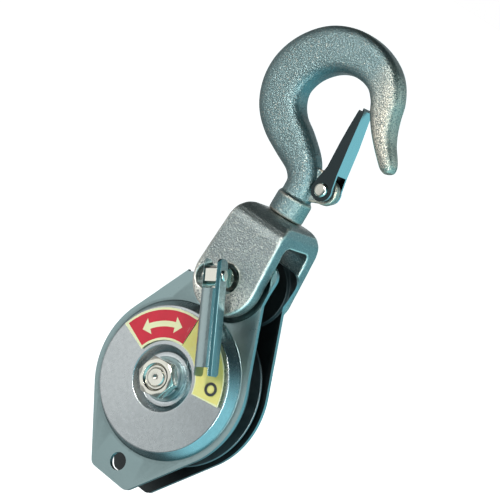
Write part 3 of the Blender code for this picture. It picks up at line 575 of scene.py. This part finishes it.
# Heights of the two faces of the sheet above the rim, as (radius, height), from the well outwards
OUTER = filleted([(14.0, WELL_H, 0), (16.3, WELL_H, 0.9), (19.8, DISH_H, 1.5), (46.1, DISH_H, 3.3),
                  (47.7, 0.0, 0.9), (50.4, 0.0, 0)])
INNER = filleted([(14.0, WELL_H - SHEET, 0), (18.2, WELL_H - SHEET, 0.9), (21.6, DISH_H - SHEET, 1.2),
                  (43.4, DISH_H - SHEET, 1.8), (45.0, -SHEET, 0.9), (50.4, -SHEET, 0)])


def plate_outline():
    """Half the outline, from the tail up over the round part to the neck, and its mirror image."""
    neck = math.radians(NECK_TILT)
    tail = math.radians(TAIL_TILT)
    tail_point = (PLATE_R * math.cos(tail), -PLATE_R * math.sin(tail))
    run = (tail_point[1] - TAIL_END) / math.cos(tail)
    tail_half = tail_point[0] - run * math.sin(tail)
    half = [(tail_half - 5.0, TAIL_END)]
    half += arc(tail_half - 4.1, TAIL_END + TAIL_CORNER, TAIL_CORNER, -80.0, -TAIL_TILT - 4.0, 7)
    half += arc(0.0, 0.0, PLATE_R, -TAIL_TILT, NECK_TILT, 46)
    neck_z = PLATE_R * math.sin(neck) + (PLATE_R * math.cos(neck) - NECK_HALF) / math.tan(neck)
    half += [(NECK_HALF + 0.5, neck_z - 1.0), (NECK_HALF, neck_z + 1.2)]
    half += arc(NECK_HALF - NECK_CORNER, NECK_TOP - NECK_CORNER, NECK_CORNER, 0.0, 90.0, 14)
    return half + [(-x, z) for x, z in reversed(half)]


def inside(point, polygon):
    """Whether a point lies in a polygon, by counting the sides to its right."""
    x, z = point
    hit = False
    for (x1, z1), (x2, z2) in zip(polygon, polygon[1:] + polygon[:1]):
        if (z1 > z) != (z2 > z) and x < (x2 - x1) * (z - z1) / (z2 - z1) + x1:
            hit = not hit
    return hit


def eased(t):
    """Smooth step from 0 to 1."""
    t = min(1.0, max(0.0, t))
    return t * t * (3.0 - 2.0 * t)


def joggle(x, z):
    """Inward step of the neck where it passes inside the yoke."""
    near = eased((JOGGLE_R - math.hypot(x, z - PIN_Z)) / JOGGLE_RAMP)
    return JOGGLE * near * eased((math.hypot(x, z) - JOGGLE_FLOOR_R) / JOGGLE_RAMP)


def paint_shade_and_light(obj, side):
    """Painted shade, near-black, on the faces that look inwards; painted light, a brighter copy of the
    plating, on the raised dish.
    """
    obj.data.materials.append(INNER_SHADE_MAT)
    obj.data.materials.append(LIT_DISH_MAT)
    for poly in obj.data.polygons:
        out = side * poly.center.y / MM
        # Inward faces below the dish top: painted shade.
        if side * poly.normal.y < -0.25 and out < RIM_Y + DISH_H - 1.0:
            poly.material_index = 1
        # Faces standing out beyond the rim, the dish: painted light.
        elif out > RIM_Y + 1.0:
            poly.material_index = 2


def plate_sheet(side, holes):
    """Pressed plate on one side of the block: a triangulated outline, lifted to its two faces."""
    outline = plate_outline()
    rings = sorted({round(p[0], 3) for p in OUTER + INNER})
    loops = [outline] + holes
    loops += [circle(0.0, 0.0, r, PLATE_SEGS) for r in rings]
    loops += [circle(0.0, PIN_Z, JOGGLE_R - k * JOGGLE_RAMP / 3.0, 72) for k in (3, 2, 1, 0)]
    verts, edges = [], []
    for loop in loops:
        first = len(verts)
        verts += [Vector(p) for p in loop]
        edges += [(first + i, first + (i + 1) % len(loop)) for i in range(len(loop))]
    coords, _, faces, _, _, _ = delaunay_2d_cdt(verts, edges, [], 0, 1e-4)
    radii_out, heights_out = zip(*OUTER)
    radii_in, heights_in = zip(*INNER)
    bm = bmesh.new()
    outer, inner, seen = {}, {}, {}
    for face in faces:
        middle = [sum(coords[i][k] for i in face) / len(face) for k in (0, 1)]
        if not inside(middle, outline) or any(inside(middle, hole) for hole in holes):
            continue
        for i in face:
            if i not in outer:
                x, z = coords[i]
                r = math.hypot(x, z)
                base = RIM_Y - joggle(x, z)
                front = base + float(np.interp(r, radii_out, heights_out))
                back = base + float(np.interp(r, radii_in, heights_in))
                outer[i] = bm.verts.new((x, side * front, z))
                inner[i] = bm.verts.new((x, side * back, z))
        bm.faces.new([outer[i] for i in face])
        bm.faces.new([inner[i] for i in reversed(face)])
        for a, b in zip(face, list(face[1:]) + [face[0]]):
            key = (min(a, b), max(a, b))
            seen[key] = seen.get(key, 0) + 1
    for (a, b), times in seen.items():
        if times == 1:
            bm.faces.new((outer[a], outer[b], inner[b], inner[a]))
    return bm


def mouth():
    """Seat for the lock pin with the slot that leads to it, curved about the axle."""
    half = math.degrees(math.asin(MOUTH_HALF / SEAT_R))
    begin = 90.0 + math.degrees(MOUTH_START / PIN_Z)
    end = 90.0 + MOUTH_SPAN
    outline = arc(0.0, PIN_Z, SEAT_R, 180.0 - half - 2.0, -180.0 + half + 6.0, 40)
    outline += arc(0.0, 0.0, PIN_Z - MOUTH_HALF, begin, end, 14)
    outline += arc(0.0, 0.0, PIN_Z + MOUTH_HALF, end, begin - 0.2, 14)
    return outline


def side_plates():
    """The fixed rear plate with a round pin hole and the opening front plate with a mouth."""
    axle_hole = circle(0.0, 0.0, BOLT_R + GAP, 48)
    eye = circle(0.0, TAIL_EYE_Z, TAIL_EYE_R, 40)
    rear = plate_sheet(1.0, [axle_hole, eye, circle(0.0, PIN_Z, SEAT_R, 48)])
    front = combined(plate_sheet(-1.0, [axle_hole, eye]), ("DIFFERENCE", prism(mouth(), -20.0, -5.0)))
    for bm, name, side in ((rear, "rear", 1.0), (front, "front", -1.0)):
        obj = piece(bm, name + "_plate_pressing", name + "_side_plate", SHEET_MAT, bevel=0.45,
                    sharp=55.0, passes=2)
        paint_shade_and_light(obj, side)


# ---------------------------------------------------------------- label

def film(outline, name, node, mat, lift, thick):
    """Printed sheet that lies lift above the label's own back face."""
    bm = prism(outline, LABEL_Y - lift - thick, LABEL_Y - lift)
    piece(bm, name, node, mat, bevel=0.05, sharp=50.0)


def sector(a0, a1, r0, r1):
    """Outline of a ring sector about the axle."""
    return arc(0.0, 0.0, r1, a0, a1, 40) + arc(0.0, 0.0, r0, a1, a0, 40)


def polar(r, angle):
    """Point at a radius and an angle in degrees about the axle."""
    a = math.radians(angle)
    return (r * math.cos(a), r * math.sin(a))


def travel_arrow():
    """Curved arrow with a head at both ends, round the middle of the red sector."""
    middle = 0.5 * (LABEL_IN_R + LABEL_OUT_R)
    half, head, tip = 1.7, 5.0, 9.0
    a0, a1 = 101.0, 150.0
    outline = arc(0.0, 0.0, middle + half, a0 + tip, a1 - tip, 24)
    outline += [polar(middle + head, a1 - tip), polar(middle, a1), polar(middle - head, a1 - tip)]
    outline += arc(0.0, 0.0, middle - half, a1 - tip, a0 + tip, 24)
    outline += [polar(middle - head, a0 + tip), polar(middle, a0), polar(middle + head, a0 + tip)]
    return outline


def label():
    """Two coloured sectors with a pale border, an arrow and a ring."""
    thin = 0.06
    wide, narrow = 1.4, 0.7       # borders of the red and the yellow sector
    a0, a1 = LABEL_RED
    film(sector(a0, a1, LABEL_IN_R, LABEL_OUT_R), "label_red_border", "label_red_panel", CREAM,
         0.0, LABEL_SHEET)
    film(sector(a0, a1 - 3.2, LABEL_IN_R + wide, LABEL_OUT_R - wide), "label_red_field",
         "label_red_panel", RED, LABEL_SHEET, thin)
    a0, a1 = LABEL_YELLOW
    film(sector(a0, a1, LABEL_IN_R, LABEL_OUT_R), "label_yellow_border", "label_yellow_panel", CREAM,
         0.0, LABEL_SHEET)
    film(sector(a0 + 1.6, a1, LABEL_IN_R + narrow, LABEL_OUT_R - narrow), "label_yellow_field",
         "label_yellow_panel", YELLOW, LABEL_SHEET, thin)
    film(travel_arrow(), "label_travel_arrow", "label_red_panel", CREAM, LABEL_SHEET + thin, 0.05)
    ring = turned([(2.5, -0.3), (4.1, -0.3), (4.1, 0.0), (2.5, 0.0)], 64)
    bmesh.ops.translate(ring, vec=(RING_X, LABEL_Y - 2.0 * GAP, RING_Z), verts=ring.verts)
    piece(ring, "label_ring_print", "label_ring_mark", INK, bevel=0.06, sharp=50.0)


# ---------------------------------------------------------------- sheave, bearing and axle

def sheave():
    """Grooved wheel: hub, recessed web, rim and a round rope groove."""
    rim = SHEAVE_RIM_HALF
    hub = SHEAVE_HUB_HALF
    web = rim - 2.2
    groove = [(GROOVE_ROOT_R + ROPE_R + ROPE_R * math.sin(a), ROPE_R * math.cos(a))
              for a in (math.radians(-25.0 - 130.0 * i / 22) for i in range(23))]
    side = filleted([(22.0, hub, 0), (27.2, hub, 0.9), (29.0, web, 1.4), (43.2, web, 1.6),
                     (46.3, rim, 1.2), (SHEAVE_R, rim, 0.7), (SHEAVE_R, rim - 1.5, 0.3),
                     groove[0] + (0,)], 4)
    outline = side + groove[1:-1] + [(r, -y) for r, y in reversed(side)]
    piece(turned(outline, 144), "sheave_wheel", "sheave", SHEAVE_SHADE_MAT, sharp=40.0, passes=2)


def bearing():
    """Rings, shields, cage, spacers and balls inside the hub."""
    for node in ("bearing_inner_ring", "bearing_outer_ring", "bearing_shield_front",
                 "bearing_shield_rear"):
        refined(node, POLISHED, 0.12)
    for node in ("retaining_ring_front", "retaining_ring_rear", "bearing_cage", "axle_sleeve",
                 "spacer_front", "spacer_rear"):
        refined(node, INNER_MAT, 0.12)
    for i in range(BALL_COUNT):
        node = f"bearing_ball_{i + 1}"
        low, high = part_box(node)
        middle = (Vector(low) + Vector(high)) / (2.0 * MM)
        bm = bmesh.new()
        bmesh.ops.create_icosphere(bm, subdivisions=4, radius=BALL_R)
        bmesh.ops.translate(bm, vec=middle, verts=bm.verts)
        piece(bm, node + "_lapped", node, POLISHED, move=Matrix.Identity(4))


def threaded(r, depth, pitch, y0, y1, segs):
    """Rod along Y whose surface carries a helical thread, fading out at both ends."""
    rows = int((y1 - y0) / pitch * 8)
    bm = bmesh.new()
    rings = []
    for k in range(rows + 1):
        y = y0 + (y1 - y0) * k / rows
        fade = max(0.0, min(1.0, y - y0, y1 - y))
        ring = []
        for i in range(segs):
            phase = (y / pitch + i / segs) % 1.0
            cut = depth * (0.5 - 0.5 * math.cos(2.0 * math.pi * phase)) ** 0.7 * fade
            a = 2.0 * math.pi * i / segs
            ring.append(bm.verts.new(((r - cut) * math.cos(a), y, (r - cut) * math.sin(a))))
        rings.append(ring)
    skin(bm, rings)
    return bm


def hexagonal(y0, y1):
    """Hexagon along Y with its corners chamfered at both ends."""
    corner = NUT_AF / math.sqrt(3.0)
    flat = NUT_AF / 2.0
    lip = 1.3
    cone = [(0.0, y0), (flat - 0.5, y0), (corner + 0.2, y0 + lip)]
    cone += [(corner + 0.2, y1 - lip), (flat - 0.5, y1), (0.0, y1)]
    bar = prism(circle(0.0, 0.0, corner, 6, 12.0), y0 - 1.0, y1 + 1.0)
    return combined(bar, ("INTERSECT", turned(cone, 96)))


def axle():
    """Bolt and nut across the plates' wells, with their washers."""
    well = RIM_Y + WELL_H
    nut_face = -(well + 3.0 * GAP + WASHER + 2.2)
    bore = [(0.0, nut_face + 1.0), (BOLT_R + 1.3, nut_face + 1.0), (BOLT_R + 1.3, nut_face - 0.2),
            (BOLT_R + GAP, nut_face - 1.4), (BOLT_R + GAP, nut_face - 6.0), (BOLT_R + 1.4, nut_face - 7.2),
            (BOLT_R + 1.4, nut_face - 8.4), (0.0, nut_face - 8.4)]
    nut = combined(hexagonal(nut_face - 7.4, nut_face), ("DIFFERENCE", turned(bore, 64)))
    piece(nut, "axle_nut_finished", "axle_nut", POLISHED, bevel=0.22, sharp=30.0, segments=3)
    head_in = well + 2.0 * GAP + WASHER
    end = BOLT_END_Y
    dimple = [(0.0, end - 1.0), (1.9, end - 1.0), (1.9, end), (0.6, end + 0.9), (0.0, end + 1.0)]
    tip = [(0.0, end), (5.0, end), (6.0, end + 1.2), (6.0, end + 3.0), (0.0, end + 3.0)]
    rod = combined(threaded(BOLT_R, 1.0, 2.0, end + 0.9, THREAD_IN_Y, 56),
                   ("UNION", turned(tip, 56)), ("DIFFERENCE", turned(dimple, 32)))
    start = THREAD_IN_Y - 0.6
    shank = [(0.0, start), (BOLT_R - 0.4, start), (BOLT_R, THREAD_IN_Y)]
    shank += [(BOLT_R, head_in + 0.4), (0.0, head_in + 0.4)]
    head = hexagonal(head_in, head_in + 8.4)
    bolt = combined(head, ("UNION", turned(shank, 56)), ("UNION", rod))
    piece(bolt, "axle_bolt_finished", "axle_bolt", POLISHED, bevel=0.15, sharp=42.0)
    for node in ("nut_washer", "bolt_washer"):
        refined(node, SHEET_MAT, 0.2)
    refined("spring_washer", SPRING_MAT, 0.3)


# ---------------------------------------------------------------- yoke, lock pin and lever

def lever():
    """The drop lever, with its web bowed forward along the middle."""
    hang = BLOCK @ Matrix.Translation((0.0, CROSS_PIN_Y, PIN_Z))
    hang = hang @ Matrix.Rotation(math.radians(-LEVER_ANGLE), 4, "Y")
    bm = cad_mm("lock_lever", hang)
    for x in (-4.6, -3.1, -1.6, 0.0, 1.6, 3.1, 4.6):
        geom = bm.verts[:] + bm.edges[:] + bm.faces[:]
        bmesh.ops.bisect_plane(bm, geom=geom, plane_co=(x, 0.0, 0.0), plane_no=(1.0, 0.0, 0.0), dist=1e-4)
    for vert in bm.verts:
        web = eased((-vert.co.y - 2.6) / 1.8)
        vert.co.y += LEVER_CROWN * (vert.co.x / LEVER_HALF) ** 2 * web
    piece(bm, "lock_lever_finished", "lock_lever", LEVER_MAT, move=hang, bevel=0.4, sharp=30.0)


def fittings():
    """Yoke, lock pin with its lever, and what holds the hook's shank under the yoke's crown."""
    bm = cad_mm("yoke", UPPER)
    bmesh.ops.triangulate(bm, faces=bm.faces)
    piece(remeshed(bm), "yoke_forging", "yoke", YOKE_MAT, move=UPPER, sharp=70.0, passes=5)
    refined("lock_pin", POLISHED, 0.35, sharp=32.0)
    lever()
    refined("lever_hinge_pin", POLISHED, 0.2, sharp=40.0)
    refined("lock_pin_clip", SPRING_MAT, 0.15)
    refined("swivel_washer", SPRING_MAT, 0.15)
    refined("hook_nut", INNER_MAT, 0.3)
    refined("hook_nut_pin", SPRING_MAT, 0.15)


# ---------------------------------------------------------------- hook and latch

# Stations along the hook's centre line, as (x, z, half width, half thickness, squareness)
STATIONS = [
    (0.0, 127.0, 10.2, 9.6, 2.2), (-0.5, 134.0, 9.2, 9.0, 2.3), (-1.5, 142.0, 9.4, 8.8, 2.6),
    (-7.5, 150.5, 10.6, 9.0, 3.2), (-19.5, 158.0, 12.2, 9.2, 3.8), (-31.0, 164.5, 12.9, 9.4, 4.0),
    (-39.5, 173.0, 13.8, 9.4, 4.0), (-44.0, 184.0, 14.2, 9.4, 4.0), (-43.5, 195.0, 14.7, 9.4, 4.0),
    (-38.5, 206.0, 14.8, 9.4, 4.0), (-29.5, 215.5, 14.6, 9.4, 4.0), (-18.5, 221.0, 13.8, 9.2, 4.0),
    (-7.0, 222.5, 12.8, 9.0, 4.0), (4.2, 220.7, 11.6, 8.8, 4.0), (13.2, 216.1, 10.5, 8.8, 4.0),
    (19.6, 208.5, 9.4, 8.8, 3.9), (23.2, 200.5, 8.3, 8.6, 3.8), (27.8, 192.3, 6.9, 8.2, 3.6),
    (33.3, 185.0, 5.7, 7.6, 3.4), (39.4, 178.6, 5.1, 6.8, 3.2), (42.9, 174.6, 4.4, 5.8, 2.8),
    (44.6, 172.2, 2.6, 4.0, 2.4),
]


def spline(stations, per_span):
    """Catmull-Rom interpolation through the stations."""
    out = []
    last = len(stations) - 1
    for i in range(last):
        p0, p1 = stations[max(i - 1, 0)], stations[i]
        p2, p3 = stations[i + 1], stations[min(i + 2, last)]
        for k in range(per_span):
            t = k / per_span
            out.append(tuple(
                0.5 * (2.0 * b + (c - a) * t + (2.0 * a - 5.0 * b + 4.0 * c - d) * t * t
                       + (3.0 * b - a - 3.0 * c + d) * t ** 3)
                for a, b, c, d in zip(p0, p1, p2, p3)))
    out.append(stations[-1])
    return out


def swept(line, around):
    """Sweep a rounded section along a centre line in the XZ plane."""
    bm = bmesh.new()
    rings = []
    for i, (x, z, w, t, power) in enumerate(line):
        before = line[max(i - 1, 0)]
        after = line[min(i + 1, len(line) - 1)]
        along = Vector((after[0] - before[0], 0.0, after[1] - before[1])).normalized()
        across = Vector((along.z, 0.0, -along.x))
        ring = []
        for k in range(around):
            a = 2.0 * math.pi * k / around
            u = math.copysign(abs(math.cos(a)) ** (2.0 / power), math.cos(a)) * w
            v = math.copysign(abs(math.sin(a)) ** (2.0 / power), math.sin(a)) * t
            ring.append(bm.verts.new(Vector((x, 0.0, z - PIN_Z)) + across * u + Vector((0.0, v, 0.0))))
        rings.append(ring)
    skin(bm, rings)
    return bm


def hook():
    """Swept hook with its shank, collar, latch ear and the hole for the nut's cross pin."""
    base = CROWN_TOP + GAP
    top = COLLAR_TOP - PIN_Z
    neck = [(0.0, 24.6), (5.2, 24.6), (SHANK_R, 25.4), (SHANK_R, base), (10.4, base)]
    neck += [(COLLAR_R, base + 0.8), (COLLAR_R, top - 1.4), (10.7, top), (0.0, top)]
    ear = [(3.0, 132.6), (9.5, 133.2), (14.6, 135.2)] + arc(RIVET_X, RIVET_Z, EAR_R, -75.0, 100.0, 26)
    ear += [(6.0, 153.6), (-2.0, 149.0)]
    shape = combined(
        swept(spline(STATIONS, 6), 72),
        ("UNION", upright(neck, 72)),
        ("UNION", prism([(x, z - PIN_Z) for x, z in ear], -EAR_HALF, EAR_HALF)),
        ("DIFFERENCE", prism(circle(RIVET_X, RIVET_Z - PIN_Z, RIVET_HOLE_R, 32), -20.0, 20.0)),
        ("DIFFERENCE", prism(circle(0.0, NUT_PIN_Z, NUT_PIN_HOLE_R, 24), -20.0, 20.0)))
    piece(remeshed(shape), "hook_forging", "hook", HOOK_MAT, move=UPPER, sharp=70.0, passes=5)


def coil_spring():
    """Torsion coil round the rivet with one leg along the latch and one towards the neck."""
    leaned = UPPER @ Matrix.Translation((RIVET_X, 0.0, RIVET_Z - PIN_Z))
    leaned = leaned @ Matrix.Rotation(math.radians(-LATCH_LEAN), 4, "Y")
    steps = 84
    path = []
    for i in range(steps + 1):
        turns = COIL_TURNS * i / steps
        a = math.radians(86.0) + turns * 2.0 * math.pi
        path.append(Vector((COIL_R * math.cos(a), COIL_Y - COIL_PITCH * turns, COIL_R * math.sin(a))))
    path[0] += Vector((1.6, 0.0, 2.0))
    path = [Vector((2.3, COIL_Y, 24.0)), Vector((2.2, COIL_Y, 10.0))] + path
    heading = Vector((-path[-1].z, 0.0, path[-1].x)).normalized()
    path.append(path[-1] + heading * 3.4)
    angles = [2.0 * math.pi * k / WIRE_SIDES for k in range(WIRE_SIDES)]
    bm = bmesh.new()
    rings = []
    for i, spot in enumerate(path):
        along = (path[min(i + 1, len(path) - 1)] - path[max(i - 1, 0)]).normalized()
        side = along.cross(Vector((0.0, 1.0, 0.0))).normalized() * WIRE_R
        up = side.cross(along)
        rings.append([bm.verts.new(spot + side * math.cos(a) + up * math.sin(a)) for a in angles])
    skin(bm, rings)
    piece(bm, "latch_spring_coil", "latch_spring", SPRING_MAT, move=leaned, sharp=50.0)


def latch():
    """Folded latch, its cheeks in a near-black copy of its plating as painted shade, its rivet and its
    spring.
    """
    obj = refined("safety_latch", LATCH_MAT, 0.35, sharp=30.0)
    obj.data.materials.append(CHEEK_SHADE_MAT)
    # Painted shade: the faces that face along Y, the cheeks, get the near-black copy of the latch's
    # plating.
    for poly in obj.data.polygons:
        if abs(poly.normal.y) > 0.9:
            poly.material_index = 1
    refined("latch_rivet", POLISHED, 0.25, sharp=24.0)
    coil_spring()


# ---------------------------------------------------------------- studio and camera

def stage_mesh(bm, name, colour, glow):
    """A matt, glowing mesh of the studio, which isn't part of the object."""
    mesh = bpy.data.meshes.new(name)
    bm.to_mesh(mesh)
    bm.free()
    mat = bpy.data.materials.new(name)
    mat.use_nodes = True
    bsdf = mat.node_tree.nodes["Principled BSDF"]
    bsdf.inputs["Base Color"].default_value = (*colour, 1.0)
    bsdf.inputs["Roughness"].default_value = 0.9
    bsdf.inputs["Specular IOR Level"].default_value = 0.1
    bsdf.inputs["Emission Color"].default_value = (1.0, 1.0, 1.0, 1.0)
    bsdf.inputs["Emission Strength"].default_value = glow
    mesh.materials.append(mat)
    obj = bpy.data.objects.new(name, mesh)
    bpy.context.scene.collection.objects.link(obj)
    return obj


def area_light(name, toward, distance, width, height, power, colour):
    """Soft box that looks at the middle of the object from the direction toward."""
    middle = (CAD_BOX[0] + CAD_BOX[1]) / 2.0
    data = bpy.data.lights.new(name, "AREA")
    data.shape = "RECTANGLE"
    data.size = width
    data.size_y = height
    data.energy = power
    data.color = colour
    lamp = bpy.data.objects.new(name, data)
    bpy.context.scene.collection.objects.link(lamp)
    way = Vector(toward).normalized()
    lamp.location = middle + way * distance
    lamp.rotation_mode = "QUATERNION"
    lamp.rotation_quaternion = way.to_track_quat("Z", "Y")


def floor_and_backdrop():
    """Pale floor and a white dome behind everything, both left out of the reflections."""
    bm = bmesh.new()
    bmesh.ops.create_circle(bm, cap_ends=True, segments=96, radius=40.0)
    floor = stage_mesh(bm, "floor", (0.9, 0.9, 0.9), 1.0)
    floor.visible_diffuse = False
    floor.visible_glossy = False
    floor.location = (0.0, 0.0, CAD_BOX[0].z - 0.16)
    bm = bmesh.new()
    bmesh.ops.create_uvsphere(bm, u_segments=48, v_segments=24, radius=38.0)
    dome = stage_mesh(bm, "backdrop", (0.0, 0.0, 0.0), 1.0)
    dome.visible_diffuse = False
    dome.visible_glossy = False
    dome.visible_transmission = False
    dome.visible_shadow = False


def surroundings():
    """World colour across X, from warm grey over dark to teal, fading out upwards."""
    world = bpy.data.worlds.new("studio")
    bpy.context.scene.world = world
    world.use_nodes = True
    tree = world.node_tree
    back = tree.nodes["Background"]
    coords = tree.nodes.new("ShaderNodeTexCoord")
    split = tree.nodes.new("ShaderNodeSeparateXYZ")
    ramp = tree.nodes.new("ShaderNodeValToRGB")
    span = tree.nodes.new("ShaderNodeMapRange")
    span.inputs["From Min"].default_value = -1.0
    tree.links.new(coords.outputs["Generated"], split.inputs["Vector"])
    tree.links.new(split.outputs["X"], span.inputs["Value"])
    tree.links.new(span.outputs["Result"], ramp.inputs["Fac"])
    tree.links.new(ramp.outputs["Color"], back.inputs["Color"])
    for element, position, colour in (
            (ramp.color_ramp.elements[0], 0.12, (0.42, 0.43, 0.43, 1.0)),
            (ramp.color_ramp.elements.new(0.48), 0.48, (0.11, 0.15, 0.16, 1.0)),
            (ramp.color_ramp.elements[-1], 0.78, (0.36, 0.88, 1.0, 1.0))):
        element.position = position
        element.color = colour
    fade = tree.nodes.new("ShaderNodeMapRange")
    for key, number in (("From Min", 0.12), ("From Max", 0.75), ("To Min", 1.0), ("To Max", 0.06)):
        fade.inputs[key].default_value = number
    tree.links.new(split.outputs["Z"], fade.inputs["Value"])
    tree.links.new(fade.outputs["Result"], back.inputs["Strength"])


def lights():
    """Soft boxes: direction, distance, width, height, watts and colour of each."""
    area_light("key_box", (-0.52, -0.85, -0.05), 1.5, 0.9, 1.5, 2.4, (1.0, 0.995, 0.97))
    area_light("front_lamp", (-0.12, -0.95, 0.28), 1.4, 0.3, 0.3, 8.0, (1.0, 0.99, 0.95))
    area_light("edge_strip", (0.80, -0.62, -0.02), 1.5, 0.28, 1.3, 12.0, (1.0, 1.0, 0.97))
    area_light("rear_fill", (-0.35, 0.93, 0.10), 1.5, 0.9, 1.3, 2.0, (0.95, 1.0, 1.0))
    area_light("back_box", (0.53, 0.62, 0.55), 1.6, 0.5, 0.5, 2.0, (0.85, 1.0, 1.0))


def camera():
    """Long lens that looks from the front right and a little above, rolled against the block's axis."""
    turn, rise, roll = math.radians(28.0), math.radians(8.0), math.radians(32.5)
    distance = 1.5
    picture_width = 0.2994        # metres across the picture at the sheave
    sensor = 36.0
    toward = Vector((math.sin(turn) * math.cos(rise), -math.cos(turn) * math.cos(rise), math.sin(rise)))
    right = Vector((math.cos(turn), math.sin(turn), 0.0))
    up = toward.cross(right)
    r = right * math.cos(roll) + up * math.sin(roll)
    u = up * math.cos(roll) - right * math.sin(roll)
    sheave_middle = Vector((-HANG_X, 0.0, -HANG_Z)) * MM
    aim = sheave_middle + (r * 40.9 + u * 79.34) * MM
    data = bpy.data.cameras.new("camera")
    data.sensor_width = sensor
    data.lens = sensor * distance / picture_width
    data.clip_end = 100.0
    cam = bpy.data.objects.new("camera", data)
    bpy.context.scene.collection.objects.link(cam)
    pose = Matrix((r, u, toward)).transposed().to_4x4()
    pose.translation = aim + toward * distance
    cam.matrix_world = pose
    bpy.context.scene.camera = cam


side_plates()
label()
sheave()
bearing()
axle()
fittings()
hook()
latch()
floor_and_backdrop()
surroundings()
lights()
camera()
bpy.context.scene.view_settings.view_transform = "Standard"

bpy.context.view_layer.update()
